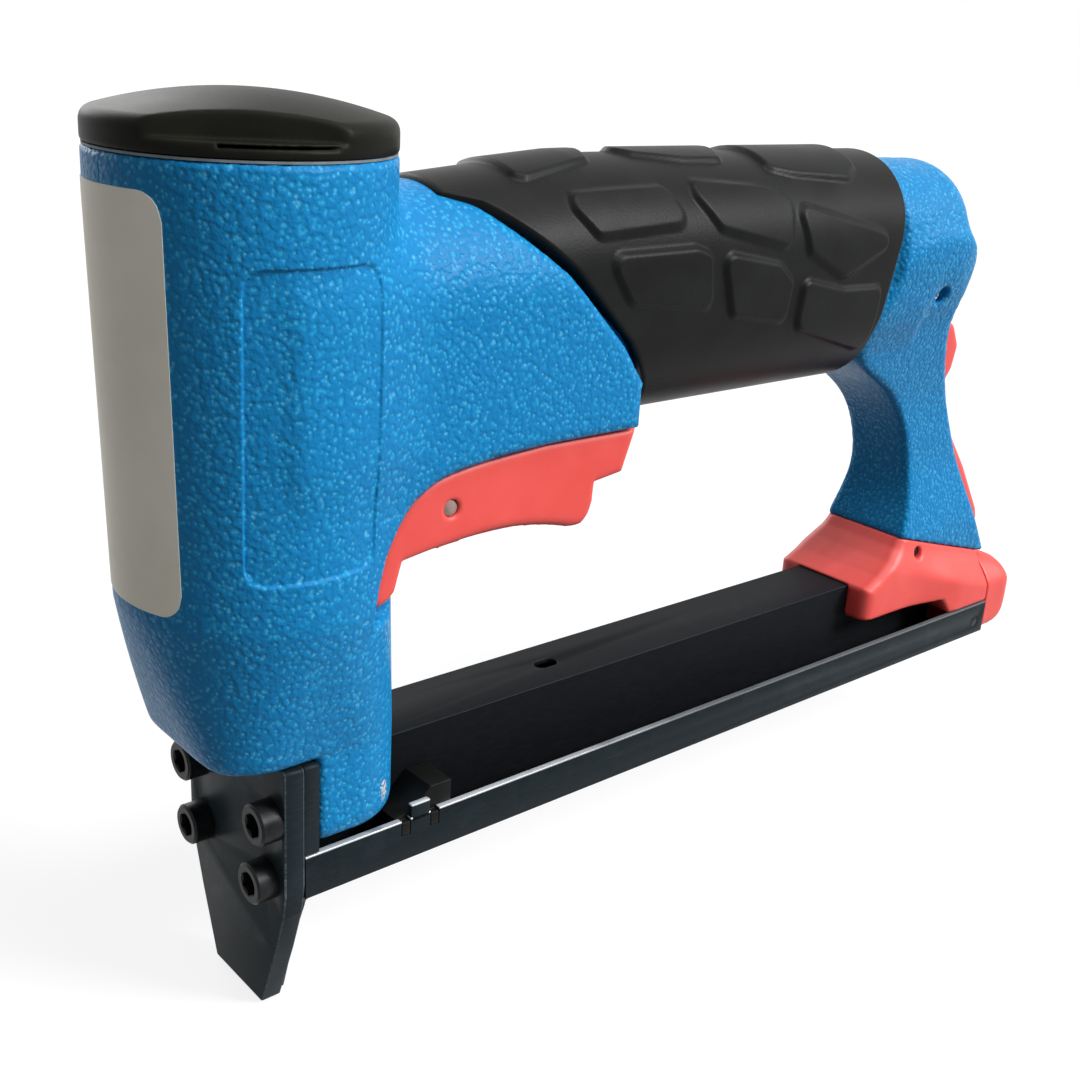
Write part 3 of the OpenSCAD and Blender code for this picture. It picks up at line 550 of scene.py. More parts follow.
class Finish(Graph):
    """A material whose patterns lie in the piece's own place."""

    made = {}

    def __init__(self, name, **fixed):
        self.material = bpy.data.materials.new(name)
        self.made[name] = self.material
        self.material.use_nodes = True
        super().__init__(self.material.node_tree)
        self.shader = self.tree.nodes["Principled BSDF"]
        self.done(**fixed)
        self.place = self.node("ShaderNodeTexCoord", output="Object")

    def done(self, **links):
        """Sets or links the shader's sockets."""
        for socket, value in links.items():
            self.feed(self.shader.inputs[socket.replace("_", " ")], value)
        return self.material

    def stretched(self, stretch):
        return self.node("ShaderNodeMapping", None, {"Vector": self.place, "Scale": stretch})

    def noise(self, size, detail=3.0, stretch=None):
        """Soft noise whose lumps are about size millimetres across."""
        at = self.stretched(stretch) if stretch else self.place
        return self.node("ShaderNodeTexNoise", None, {
            "Vector": at, "Scale": 1 / (size * MM), "Detail": detail, "Roughness": 0.55})

    def dimples(self, size):
        """Distance from the middles of soft cells about size millimetres across."""
        return self.node("ShaderNodeTexVoronoi", {"feature": "SMOOTH_F1"}, {
            "Vector": self.place, "Scale": 1 / (size * MM)}, "Distance")

    def along(self, axis):
        return self.node("ShaderNodeSeparateXYZ", None, {0: self.place}, axis)

    def between(self, value, low, high, to_low=0.0, to_high=1.0):
        """Value from low to high carried over to a new range, held at its ends."""
        return self.node("ShaderNodeMapRange", {"interpolation_type": "SMOOTHSTEP"}, {
            "Value": value, "From Min": low, "From Max": high, "To Min": to_low, "To Max": to_high},
            "Result")

    def mix(self, factor, first, second):
        """Colour between two colours."""
        colours = [c if isinstance(c, Value) else tuple(c)[:3] + (1.0,) for c in (first, second)]
        return self.node("ShaderNodeMix", {"data_type": "RGBA"}, {
            0: factor, 6: colours[0], 7: colours[1]}, 2)

    def bump(self, height, depth, strength=1.0):
        """Relief of depth millimetres."""
        return self.node("ShaderNodeBump", None, {
            "Height": height, "Distance": depth * MM, "Strength": strength})


def hammered_blue(looks):
    """Hammer tone enamel: dimples with a pale painted highlight at their middles, in a deep blue with one
    bare chip on the foot.
    """
    f = Finish("hammered_blue", Specular_IOR_Level=0.1)
    dimple = f.dimples(looks.hammer_size)
    swirl = f.noise(looks.hammer_size * 2.2, 2.0)
    fine = f.noise(looks.hammer_size * 0.5, 2.0)
    ridge = f.between(dimple + 0.3 * swirl, 0.22, 0.6)
    paint = f.mix(ridge, looks.blue, looks.blue_deep)
    # Painted highlight: pale blue painted at the dimples' middles, patchy under the swirl, in place of glints
    # of light
    painted_glint_mask = f.between(dimple + 0.25 * fine, 0.16, 0.46, 1.0, 0.0)
    painted_glint_mask = painted_glint_mask * f.between(swirl, 0.38, 0.62, 0.15, 1.0)
    paint = f.mix(painted_glint_mask * 0.36, paint, looks.painted_glint_blue)
    chip_at = tuple(c * k * MM for c, k in zip(CHIP, CHIP_STRETCH))
    off = f.node("ShaderNodeVectorMath", {"operation": "DISTANCE"}, {
        0: f.stretched(CHIP_STRETCH), 1: chip_at}, "Value")
    chip = f.between(off + 0.004 * fine, 0.0028, 0.0031, 1.0, 0.0)
    return f.done(Base_Color=f.mix(chip, paint, looks.edge_bright), Metallic=0.5 * chip,
                  Roughness=f.between(ridge, 0, 1, 0.26, 0.38),
                  Normal=f.bump(dimple + 0.4 * fine, 0.24))


def rubber(looks):
    """Moulded rubber with a fine bloom."""
    f = Finish("tread_rubber", Specular_IOR_Level=0.1)
    grain = f.noise(0.45, 3.0)
    bloom = f.noise(11.0, 4.0)
    colour = f.mix(f.between(bloom, 0.35, 0.7), looks.rubber, looks.rubber_bloom)
    return f.done(Base_Color=colour, Roughness=0.3 + 0.16 * bloom + 0.06 * grain,
                  Normal=f.bump(grain, 0.05, 0.6))


def coral(looks):
    """Moulded red plastic with faint flow clouds and a fine grain."""
    f = Finish("coral_plastic", Specular_IOR_Level=0.45, Subsurface_Weight=0.05,
               Subsurface_Radius=(0.0012, 0.0006, 0.0004))
    flow = f.noise(16.0, 3.0, (1.0, 2.0, 1.0))
    grain = f.noise(0.5, 2.0)
    scuff = f.between(f.noise(3.5, 5.0, (0.4, 1.0, 1.6)), 0.62, 0.78)
    colour = f.mix(f.between(flow, 0.3, 0.7), looks.red, looks.red_deep)
    colour = f.mix(scuff * 0.12, colour, looks.red_pale)
    return f.done(Base_Color=colour, Roughness=0.4 + 0.1 * flow + 0.1 * scuff,
                  Normal=f.bump(grain, 0.03, 0.5))


def sheet_steel(name, colour, worn, shine, wear=0.25, bare=None, line=RAIL_TOP):
    """Dark steel with drawing lines, rubbed patches and, with bare, a top edge that fades backwards."""
    f = Finish(name, Specular_IOR_Level=0.06)
    lines = f.noise(0.35, 3.0, (0.15, 1.0, 1.0))
    patch = f.noise(7.0, 5.0)
    rub = f.between(patch + 0.3 * lines, 0.66, 0.86)
    shade = f.mix(f.between(lines, 0.3, 0.7, 0.0, 0.3), colour, worn)
    shade = f.mix(rub * wear, shade, worn)
    metal = f.between(rub, 0, 1, 0.12, 0.4)
    if bare:
        top = f.between(f.along("Z"), (line - 0.4) * MM, (line - 0.15) * MM)
        edge = top * f.between(f.along("X") + 0.03 * patch, 0.045, 0.12, 1.0, 0.2)
        shade = f.mix(edge, shade, bare)
        metal = metal + 0.5 * edge
    return f.done(Base_Color=shade, Roughness=shine + 0.12 * lines + 0.08 * patch, Metallic=metal,
                  Normal=f.bump(lines, 0.012, 0.5))


def cast_grain(name, colour, second, rough, metal=0.0, size=0.6, depth=0.03, cloud=9.0, **fixed):
    """A plain finish with clouds of a second colour and a fine grain."""
    f = Finish(name, **fixed)
    grain = f.noise(size, 3.0)
    patch = f.noise(cloud, 4.0)
    return f.done(Base_Color=f.mix(f.between(patch, 0.32, 0.68), colour, second),
                  Roughness=rough + 0.1 * patch + 0.06 * grain, Metallic=metal,
                  Normal=f.bump(grain, depth, 0.5))


def turned_metal(name, colour, second, rough):
    """Turned or drawn bright metal with fine rings."""
    f = Finish(name)
    rings = f.noise(0.25, 2.0, (1.0, 1.0, 3.0))
    patch = f.noise(6.0, 4.0)
    return f.done(Base_Color=f.mix(f.between(patch, 0.3, 0.7), colour, second), Metallic=1.0,
                  Roughness=rough + 0.12 * rings + 0.06 * patch, Normal=f.bump(rings, 0.008, 0.4))


def finishes(context):
    """All finishes by name, made once."""
    if "hammered_blue" in Finish.made:
        return Finish.made
    looks = context.scene.stapler_looks
    hammered_blue(looks)
    rubber(looks)
    coral(looks)
    blued = looks.gunmetal, looks.gunmetal_worn, 0.34
    sheet_steel("blued_steel", *blued)
    sheet_steel("rail_steel", *blued, bare=looks.edge_bright)
    sheet_steel("tooth_steel", *blued, bare=looks.edge_bright, line=RAIL_TOP + TOOTH_H)
    sheet_steel("black_sheet", looks.magazine, looks.magazine_worn, 0.55, wear=0.12)
    sheet_steel("worn_edge", looks.gunmetal_worn, looks.edge, 0.32, wear=0.4)
    cast_grain("cap_black", looks.cap, looks.cap_second, 0.34, size=0.5, depth=0.04, Specular_IOR_Level=0.05)
    cast_grain("screw_black", looks.screw, looks.screw_worn, 0.3, 0.2, 0.4, 0.02, 3.0,
               Specular_IOR_Level=0.15)
    cast_grain("shoe_black", looks.screw, looks.cap, 0.42, size=0.4, cloud=6.0, Specular_IOR_Level=0.1)
    cast_grain("gasket_grey", looks.gasket, looks.gasket_dark, 0.55, size=0.4, cloud=4.0)
    cast_grain("blank_film", looks.film, looks.film_worn, 0.5, size=0.9, depth=0.01, cloud=26.0)
    cast_grain("dull_pin", looks.pin, looks.pin_dark, 0.4, 0.4, 0.4, 0.02, 2.0)
    cast_grain("seal_black", tint("#161617"), tint("#232325"), 0.45)
    cast_grain("bumper_amber", tint("#c08f2c"), tint("#a87820"), 0.42)
    cast_grain("valve_ivory", tint("#d9d3c2"), tint("#cbc4b0"), 0.4)
    turned_metal("polished_steel", tint("#b4b8bd"), tint("#8f949a"), 0.2)
    turned_metal("spring_wire", tint("#9a9ea3"), tint("#74787d"), 0.24)
    turned_metal("turned_alloy", tint("#b9bcbf"), tint("#a2a5a8"), 0.26)
    turned_metal("turned_brass", tint("#c39a4a"), tint("#a67f37"), 0.2)
    return Finish.made


# Shapes of the main pieces

def head_line(z):
    """Corner radius and middle of the tapering head at a height."""
    heights = [LIP_Z, WAIST_Z, FULL_Z]
    return np.interp(z, heights, [13, HEAD_R - 0.6, HEAD_R]), np.interp(z, heights, [3.5, 0.8, 0.0])


def lever_room(x, z, side):
    """Room for the latch lever in the post and the bracket."""
    return overlap(outline(from_rear(LEVER_ROOM), x, z), side - LEVER_HALF - 0.3)


def body_shape(sizes):
    """Field of the cast body with its bores, slots and recesses."""
    top = HEAD_Z - sizes.gasket / MM
    depth = sizes.panel_depth / MM
    web_x, web_z = WEB_FRONT[-1]
    web = ([(0, WEB_FRONT[0][1])] + WEB_FRONT + [(web_x - 1, web_z), (web_x - 1, WEB_UNDER)]
           + shifted(TRIGGER_EDGE, *TRIGGER_GAP)[::-1] + [(0, OPEN_Z)])
    gap_x, gap_z = TRIGGER_GAP
    open_side = [(x + gap_x - 0.8 * min(1, max(0, (93 - z) / 8)), z + gap_z)
                 for x, z in flowing(TRIGGER_EDGE, False)]
    open_side += [(OPEN_X, TRIGGER_EDGE[-1][1]), (OPEN_X, OPEN_Z), (11.6, OPEN_Z)]
    rise = math.sin(math.radians(TRIGGER_TURN))
    pocket = [(x - 1, z + 2.2 + max(0, x - PIVOT[0]) * rise) for x, z in TRIGGER_EDGE]
    pocket += [(OPEN_X, POCKET_TOP), (OPEN_X, OPEN_Z), (12.0, OPEN_Z)]
    post = flowing(from_rear(POST_LINE))
    roll_end = extent("inlet_pin")[1].y

    def field(x, y, z):
        side = np.abs(y)
        # Head: a barrel that flattens towards its sloped foot, with a bare panel in each side
        radius, centre = head_line(z)
        foot = np.clip((WAIST_Z - z) / (WAIST_Z - LIP_Z), 0, 1)
        barrel = np.hypot(np.maximum(np.abs(x - centre) - FOOT_FLAT[0] * foot, 0),
                          np.maximum(side - FOOT_FLAT[1] * foot, 0)) - radius
        barrel = barrel + depth * ease(0.5 - round_box(x, z, *PANEL) / 0.35) * (side > 10)
        slope = (x + HEAD_R) * FOOT_SLOPE[0] + (z - WAIST_Z) * FOOT_SLOPE[1]
        barrel = smooth_overlap(barrel, -slope / math.hypot(*FOOT_SLOPE), 2.5)
        head = smooth_overlap(barrel, FOOT_Z - z, 3)
        head = smooth_overlap(head, z - top, 0.8)
        # Web, handle core, inlet boss, post with its tongue, and the trigger's lugs
        section = np.hypot(y, np.maximum(z - WEB_ROUND_Z, 0)) - WEB_ROUND_R
        webbing = smooth_overlap(outline(web, x, z), section, 1.6)
        body = smooth_union(head, webbing, 2.5 + 6 * ease((140 - z) / 14) - 4.5 * ease((104 - z) / 12))
        core = np.hypot(y, np.maximum(np.abs(z - CORE_Z) - CORE_FLAT, 0)) - CORE_R
        body = smooth_union(body, smooth_overlap(core, slab(x, CORE_X, BOSS_X + 11), 1), 1)
        leg = smooth_overlap(outline(post, x, z), side - np.interp(z, POST_Z, POST_HALF), 1.3)
        boss = smooth_overlap(bar(y, z, (0, BOSS_Z), BOSS_R), x - BUSH_END + 0.5, 8)
        rear = smooth_union(overlap(boss, BOSS_X - 1 - x), leg, 7)
        body = smooth_union(body, smooth_overlap(rear, seam_at(x) - z, 0.4), 3)
        body = union(body, overlap(slab(z, MAG_TOP + TONGUE_LIFT, 58), side - TONGUE_WIDE,
                                   np.abs(x - BRACKET_PIN[0]) - TONGUE_LONG))
        ears = union(outline(LUG_LINE, x, z), bar(x, z, PIVOT, 3.5))
        body = smooth_union(body, smooth_overlap(ears, side - LUG_HALF, 0.8), 1)
        # Nose seat, cylinder, blade slot, magazine and upper screws
        body = smooth_cut(body, overlap(x - NOSE_BACK, z - LIP_Z), 1.6)
        hole = union(
            overlap(np.hypot(x, y) - BORE_R, BORE_Z - z),
            overlap(np.hypot(x, y) - SLEEVE_R - 0.1, SEAT_Z - z),
            overlap(np.abs(x) - BLADE_SLOT[0], side - BLADE_SLOT[1], slab(z, 20, SEAT_Z + 1)),
            overlap(slab(x, 0, 60), side - MAG_OUT - FIT, z - MAG_TOP - FIT),
            overlap(bar(side, z, HIGH_SCREW, SCREW_HOLE_R), slab(x, 0, SCREW_HOLE_END)),
            # Air way, inlet, trigger valve, pins and the latch spring's seat
            overlap(bar(y, z, (0, AIR_WAY_Z), AIR_WAY_R), slab(x, CORE_X, BUSH_X + 1)),
            overlap(bar(y, z, (0, BOSS_Z), BUSH_R + FIT), BUSH_X - FIT - x),
            overlap(bar(x, y, (VALVE_X, 0), VALVE_R), slab(z, 60, AIR_WAY_Z)),
            *(bar(x, z, pin, PIN_R) for pin in (INLET_PIN, PIVOT, BRACKET_PIN)),
            overlap(bar(x, z, INLET_PIN, PIN_R + 0.5), roll_end - 0.4 - side),
            overlap(bar(x, z, LATCH_PIVOT, PIN_R), LATCH_PIN_END - y),
            overlap(bar(y, z, LATCH_SEAT, LATCH_SEAT_R), slab(x, *LATCH_SEAT_X)))
        body = smooth_cut(body, hole, 0.5)
        # Room for the trigger's cheeks and for the latch lever
        body = smooth_cut(body, overlap(outline(open_side, x, z), LUG_HALF - side), 0.9)
        body = smooth_cut(body, overlap(outline(pocket, x, z), slab(side, LUG_HALF, TRIGGER_W + 0.2)), 0.4)
        return smooth_cut(body, lever_room(x, z, side), 1.2)

    return field


def cap_shape(x, y, z):
    """Field of the cap: wall, dome, the outlet's flat face above its ledge, and the plug below."""
    r = np.hypot(x, y)
    drop = CAP_Z - HEAD_Z - CAP_WALL
    arch = (HEAD_R ** 2 + drop ** 2) / (2 * drop)
    dome = np.sqrt(x * x + y * y + (z - CAP_Z + arch) ** 2) - arch
    cap = smooth_overlap(smooth_overlap(r - HEAD_R, dome, 1.7), HEAD_Z - z, 0.8)
    outward = x * OUTLET_WAY[0] + y * OUTLET_WAY[1]
    along = y * OUTLET_WAY[0] - x * OUTLET_WAY[1]
    ledge = HEAD_Z + OUTLET_LEDGE
    cap = smooth_cut(cap, overlap(OUTLET_FACE - OUTLET_LEAN * (z - ledge) - outward, ledge - z), 0.6)
    slot = overlap(np.abs(z - ledge + 0.5) - 0.2, slab(along, *OUTLET_SLOT), OUTLET_FACE + 0.6 - outward)
    cap = smooth_cut(cap, slot, 0.2)
    groove = overlap(BORE_R - 1.9 - r, np.abs(z - (PLUG_Z + HEAD_Z) / 2) - 1.08)
    return union(cap, overlap(r - BORE_R + 0.1, slab(z, PLUG_Z, HEAD_Z + 1), -groove))


def trigger_shape(x, y, z):
    """Field of the trigger: two cheeks joined by the finger bar."""
    side = np.abs(y)
    under = TRIGGER_UNDER
    lower = flowing(under[2:10], False)
    edge = (flowing(shifted(TRIGGER_EDGE[:-1], -0.5, 0.8), False) + [(70.3, 98.4)] + under[:2]
            + lower + under[10:])
    finger_x, finger_z = under[8][0], 86.2
    finger = [(finger_x, finger_z), (under[2][0] - 1.9, finger_z)] + [p for p in lower if p[0] > finger_x]
    cheek = smooth_overlap(outline(edge, x, z), side - TRIGGER_W, 1.7)
    cheek = smooth_overlap(cheek, TRIGGER_IN - side, 0.4)
    link = overlap(outline(finger, x, z), side - TRIGGER_IN - 0.8, HEAD_R + 0.5 - np.hypot(x, y))
    shape = smooth_union(cheek, link, 0.8)
    return smooth_cut(shape, bar(x, z, PIVOT, PIN_R + FIT), 0.5)


def red_half(x, z):
    """Half width of the bracket and the tail: narrow at the seam, wide at the skirt."""
    low = 13.7 + (HALF_W - 13.9) * ease((x - BRACKET_X - 14) / (BRACKET_END - BRACKET_X - 25))
    return 11.8 + (low - 11.8) * ease((seam_at(x) - z) / 9)


def bracket_shape(x, y, z):
    """Field of the red bracket that carries the magazine's rear."""
    side = np.abs(y)
    wide, skirt, rail = BRACKET_END - 15.6, 37.3, RAIL_TOP + 0.15
    (seam_x, seam_z), end, start = from_rear(SEAM)[0], BRACKET_END + 6, BRACKET_X - 9
    front = soft([(BRACKET_X, 20, 0)] + [(BRACKET_X + dx, MAG_TOP + dz, r) for dx, dz, r in BRACKET_TIP]
                 + [(seam_x, seam_z, 0), (seam_x + 4, seam_z + 8, 0), (end, seam_z + 8, 0), (end, 20, 0)])
    under = soft([(start, skirt, 0), (wide - 3, skirt, 1.2), (wide, rail, 1.2), (end, rail, 0),
                  (end, 90, 0), (start, 90, 0)])
    shape = smooth_overlap(outline(front, x, z), side - red_half(x, z), 3.2)
    shape = smooth_overlap(shape, outline(under, x, z), 0.9)
    shape = smooth_overlap(shape, z - seam_at(x) + FIT, 0.4)
    shape = smooth_overlap(shape, x - BRACKET_END, 0.3)
    shape = smooth_cut(shape, overlap(side - MAG_OUT - FIT, z - MAG_TOP - FIT), 0.4)
    tongue = overlap(np.abs(x - BRACKET_PIN[0]) - TONGUE_LONG - FIT, side - TONGUE_WIDE - FIT,
                     MAG_TOP + TONGUE_LIFT - FIT - z)
    shape = smooth_cut(shape, tongue, 0.3)
    shape = smooth_cut(shape, bar(x, z, BRACKET_PIN, PIN_R), 0.6)
    return smooth_cut(shape, lever_room(x, z, side), 0.8)


def tail_shape(x, y, z):
    """Field of the red tail cap with its plug inside the rail."""
    side = np.abs(y)
    top = extent("tail_cap")[1].z - 1.6
    start = REAR_X - 6
    reach = HALF_W - 0.1
    plan = soft([(start, -reach, 0), (TAIL_END, -reach, 5), (TAIL_END, reach, 5), (start, reach, 0)])
    profile = soft([(start, RAIL_Z, 0), (TAIL_END, RAIL_Z, 8.5), (TAIL_END, top, 10), (start, top, 0)])
    spread = side + reach - red_half(BRACKET_END, np.minimum(z, top))
    shape = smooth_overlap(outline(plan, x, spread), outline(profile, x, z), 3.0)
    shape = smooth_overlap(shape, REAR_X + FIT - x, 0.3)
    ridge = shifted([(0.3, -1), (0.3, 1.6), (1.5, 1.6), (3.3, -1)], REAR_X, top)
    shape = smooth_union(shape, smooth_overlap(outline(ridge, x, z), side - 4.5, 0.8), 0.8)
    plug_y = HALF_W - 1.25
    plug = round_box(y, z, (-plug_y, RAIL_Z + 1.25), (plug_y, RAIL_TOP - 0.25), 0.4)
    shape = union(shape, overlap(plug, slab(x, extent("tail_cap")[0].x, REAR_X + 1)))
    shape = smooth_cut(shape, overlap(bar(y, z, ROD, PIN_R), x - extent("pusher_rod")[1].x), 0.3)
    return smooth_cut(shape, bar(x, z, TAIL_RIVET, PIN_R), 0.3)


def lever_shape(x, y, z):
    """Field of the rocker latch."""
    shape = smooth_overlap(outline(soft(from_rear(LEVER_LINE)), x, z), np.abs(y) - LEVER_HALF, 2.0)
    shape = smooth_cut(shape, bar(x, z, LATCH_PIVOT, PIN_R + FIT), 0.4)
    pocket = overlap(bar(y, z, LATCH_SEAT, LATCH_SEAT_R), x - extent("latch_spring")[1].x - FIT)
    return smooth_cut(shape, pocket, 0.4)


def bush_shape(x, y, z):
    """Field of the inlet bush with its inner thread."""
    pitch, ridge, thread_r, thread_l, mouth_r, bore_r = 1.41, 0.32, 5.6, 13, 6.5, 4.25
    r = np.hypot(y, z - BOSS_Z)
    turn = np.arctan2(z - BOSS_Z, y) / (2 * math.pi)
    thread = overlap(r - thread_r - ridge * np.cos(2 * math.pi * (x / pitch - turn)), BUSH_END - thread_l - x)
    shape = smooth_overlap(r - BUSH_R, slab(x, BUSH_X, BUSH_END), 1.2)
    hole = union(thread, r - mouth_r + 0.9 * (BUSH_END - x), r - bore_r)
    return overlap(smooth_cut(shape, hole, 0.3), -bar(x, z, INLET_PIN, PIN_R))


def roll_pin_shape(x, y, z):
    """Field of the inlet's rolled pin, with its slit at the front."""
    inner_r, slit = 0.85, 0.18
    r = bar(x, z, INLET_PIN, 0)
    half = extent("inlet_pin")[1].y
    tube = smooth_overlap(overlap(r - PIN_R + 0.03, inner_r - r), np.abs(y) - half, 0.4)
    return overlap(tube, -overlap(np.abs(z - INLET_PIN[1]) - slit, x - INLET_PIN[0]))


def grip_mesh(name, sizes):
    """The rubber grip: a sleeve round the handle with raised tread pads and rounded lips."""
    around, lengthwise = 310, 280
    pad = sizes.pad_height / MM
    reach, flat, middle_z = 18.1, 5.8, 121.3
    inner_r, inner_flat, inner_z = 15.3, 5.1, 121.0

    def section(radius, straight, centre):
        """Points, outward directions and arc lengths round an upright section with round ends."""
        total = 2 * math.pi * radius + 4 * straight
        s = np.arange(around) / around * total
        quarter = math.pi * radius / 2
        out = []
        for length in s:
            half = length if length <= total / 2 else total - length
            sign = 1 if length <= total / 2 else -1
            if half < quarter:
                a = half / radius
                n, c = (math.sin(a), math.cos(a)), straight
            elif half < quarter + 2 * straight:
                n, c = (1.0, 0.0), straight - (half - quarter)
            else:
                a = (half - quarter - 2 * straight) / radius
                n, c = (math.cos(a), -math.sin(a)), -straight
            out.append((sign * radius * n[0], centre + c + radius * n[1], sign * n[0], n[1], sign * half))
        return np.array(out)

    outer, inner = section(reach, flat, middle_z), section(inner_r, inner_flat, inner_z)
    fx, fz = zip(*sorted(GRIP_FRONT, key=lambda p: p[1]))
    rx, rz = zip(*sorted(GRIP_REAR, key=lambda p: p[1]))
    front = np.interp(outer[:, 1], fz, fx)
    rear = np.interp(outer[:, 1], rz, rx)
    t = 0.5 - 0.5 * np.cos(np.pi * np.linspace(0, 1, lengthwise))
    t = 0.25 * t + 0.75 * np.linspace(0, 1, lengthwise)
    x = front[None, :] + t[:, None] * (rear - front)[None, :]
    y = np.broadcast_to(outer[:, 0], x.shape)
    z = np.broadcast_to(outer[:, 1], x.shape)
    arc = np.broadcast_to(outer[:, 4], x.shape)
    high = np.zeros(x.shape)
    pads = [(line, z, np.abs(y) > 6) for line in SIDE_PADS]
    pads += [(both_halves(line), arc, z > middle_z + flat) for line in TOP_PAD_HALVES]
    for line, up, where in pads:
        high = np.maximum(high, ease(0.5 - outline(soft(line), x, up) / PAD_EDGE) * where)
    grow = pad * high
    # The sleeve thins towards its front lip, where it lies level with the casting
    full = middle_z + flat + reach
    thin = full - np.interp(x, [29.5, 46, 60, 70], [142.2, 143.8, 145.0, full])
    grow = grow - thin * np.maximum(outer[:, 3], 0)[None, :] ** 1.5
    lip = sizes.grip_lip / MM
    for gap in (x - front[None, :], rear[None, :] - x):
        near = np.clip(lip - gap, 0, lip)
        grow = grow - (lip - np.sqrt(lip * lip - near * near))
    points = np.stack([x, y + grow * outer[:, 2], z + grow * outer[:, 3]], 2)
    bore = [np.stack([end, inner[:, 0], inner[:, 1]], 1) for end in (rear, front)]
    obj = mesh_piece(name, np.concatenate([*points, *bore]), ring_faces(lengthwise + 2, around))
    with editing(obj.data) as work:
        bmesh.ops.recalc_face_normals(work, faces=work.faces)
    smoothed(obj.data, 50)
    return obj


def film_mesh(name, sizes):
    """A thin blank film with round corners, lying on the front of the head."""
    low, high, half = 79.2, 142.2, 13.2
    r, gap, columns, rows = 4.0, 0.02, 48, 60
    across = np.linspace(-half, half, columns)
    inset = np.clip(np.abs(across) - (half - r), 0, r)
    cut = r - np.sqrt(np.maximum(r * r - inset * inset, 0))
    t = np.linspace(0, 1, rows)[:, None]
    z = (low + cut)[None, :] + t * (high - low - 2 * cut)[None, :]
    radius, centre = head_line(z)
    angle = math.pi + across[None, :] / HEAD_R
    layers = [np.stack([centre + out * np.cos(angle), out * np.sin(angle), z], 2).reshape(-1, 3)
              for out in (radius + gap, radius + gap + sizes.film / MM)]
    grid = np.arange(rows * columns).reshape(rows, columns)
    quads = np.stack([grid[:-1, :-1], grid[1:, :-1], grid[1:, 1:], grid[:-1, 1:]], 2).reshape(-1, 4)
    rim = np.concatenate([grid[0, :-1], grid[:-1, -1], grid[-1, :0:-1], grid[:0:-1, 0]])
    shift = rows * columns
    after = np.roll(rim, -1)
    wall = np.stack([rim, after, after + shift, rim + shift], 1)
    obj = mesh_piece(name, np.concatenate(layers), np.concatenate([quads[:, ::-1], quads + shift, wall]))
    with editing(obj.data) as work:
        bmesh.ops.remove_doubles(work, verts=work.verts, dist=1e-6)
        bmesh.ops.recalc_face_normals(work, faces=work.faces)
    smoothed(obj.data, 50)
    return obj


# Node trees for what repeats or follows a path

class Tree(Graph):
    """A Geometry Nodes tree with named numbers, a start mesh and a material as its inputs."""

    def __init__(self, name, *numbers):
        super().__init__(bpy.data.node_groups.new(name, "GeometryNodeTree"))
        kinds = {"Geometry": "NodeSocketGeometry", "Material": "NodeSocketMaterial"}
        sockets = self.tree.interface
        sockets.new_socket("Geometry", in_out="OUTPUT", socket_type=kinds["Geometry"])
        self.names = {}
        for key in ("Geometry",) + numbers + ("Material",):
            item = sockets.new_socket(key, in_out="INPUT", socket_type=kinds.get(key, "NodeSocketFloat"))
            self.names[key] = item.identifier
        entry = self.tree.nodes.new("NodeGroupInput")
        self.given = {key: Value(self, entry.outputs[key]) for key in self.names}
        self.numbers = [self.given[key] for key in numbers]

    def moved(self, geometry, lift):
        """Geometry moved up along Z."""
        place = self.node("ShaderNodeCombineXYZ", None, {"Z": lift})
        return self.node("GeometryNodeTransform", None, {"Geometry": geometry, "Translation": place})

    def close(self, geometry):
        """Ends the tree in realized geometry with its material."""
        real = self.node("GeometryNodeRealizeInstances", None, {"Geometry": geometry})
        dressed = self.node("GeometryNodeSetMaterial", None, {
            "Geometry": real, "Material": self.given["Material"]})
        self.feed(self.tree.nodes.new("NodeGroupOutput").inputs[0], dressed)
        return self

    def make(self, name, start, values):
        """Runs the tree on a start mesh and returns the result as a plain object."""
        obj = piece(name, start)
        modifier = obj.modifiers.new(name, "NODES")
        modifier.node_group = self.tree
        for key, value in values.items():
            modifier[self.names[key]] = value
        obj.update_tag()
        return plain(obj)


def screw_tree():
    """Socket head screws on the start mesh's points, facing the front."""
    t = Tree("socket_screw", "Head radius", "Head height", "Key radius", "Key depth", "Shank radius",
             "Shank length", "Chamfer")
    head_r, head_h, key_r, key_depth, shank_r, shank_l, chamfer = t.numbers

    def drum(sides, radius, top, depth, lift):
        return t.moved(t.node("GeometryNodeMeshCone", None, {
            "Vertices": sides, "Radius Bottom": radius, "Radius Top": top, "Depth": depth}), lift)

    wall = head_h - chamfer
    head = drum(48, head_r, head_r, wall, 0.0)
    crown = drum(48, head_r, head_r - chamfer, chamfer, wall)
    shank = drum(24, shank_r, shank_r, shank_l, 0.0 - shank_l)
    solid = t.node("GeometryNodeMeshBoolean", {"operation": "UNION", "solver": "EXACT"},
                   {"Mesh 2": [head, crown, shank]})
    key = drum(6, key_r, key_r, head_h, head_h - key_depth)
    lead = drum(48, key_r - chamfer, key_r + chamfer, 2.0 * chamfer, wall)
    screw = t.node("GeometryNodeMeshBoolean", {"operation": "DIFFERENCE", "solver": "EXACT"},
                   {"Mesh 1": solid, "Mesh 2": [key, lead]})
    turned = t.node("GeometryNodeTransform", None, {
        "Geometry": screw, "Rotation": Euler((0, -math.pi / 2, 0))})
    return t.close(t.node("GeometryNodeInstanceOnPoints", None, {
        "Points": t.given["Geometry"], "Instance": turned}))


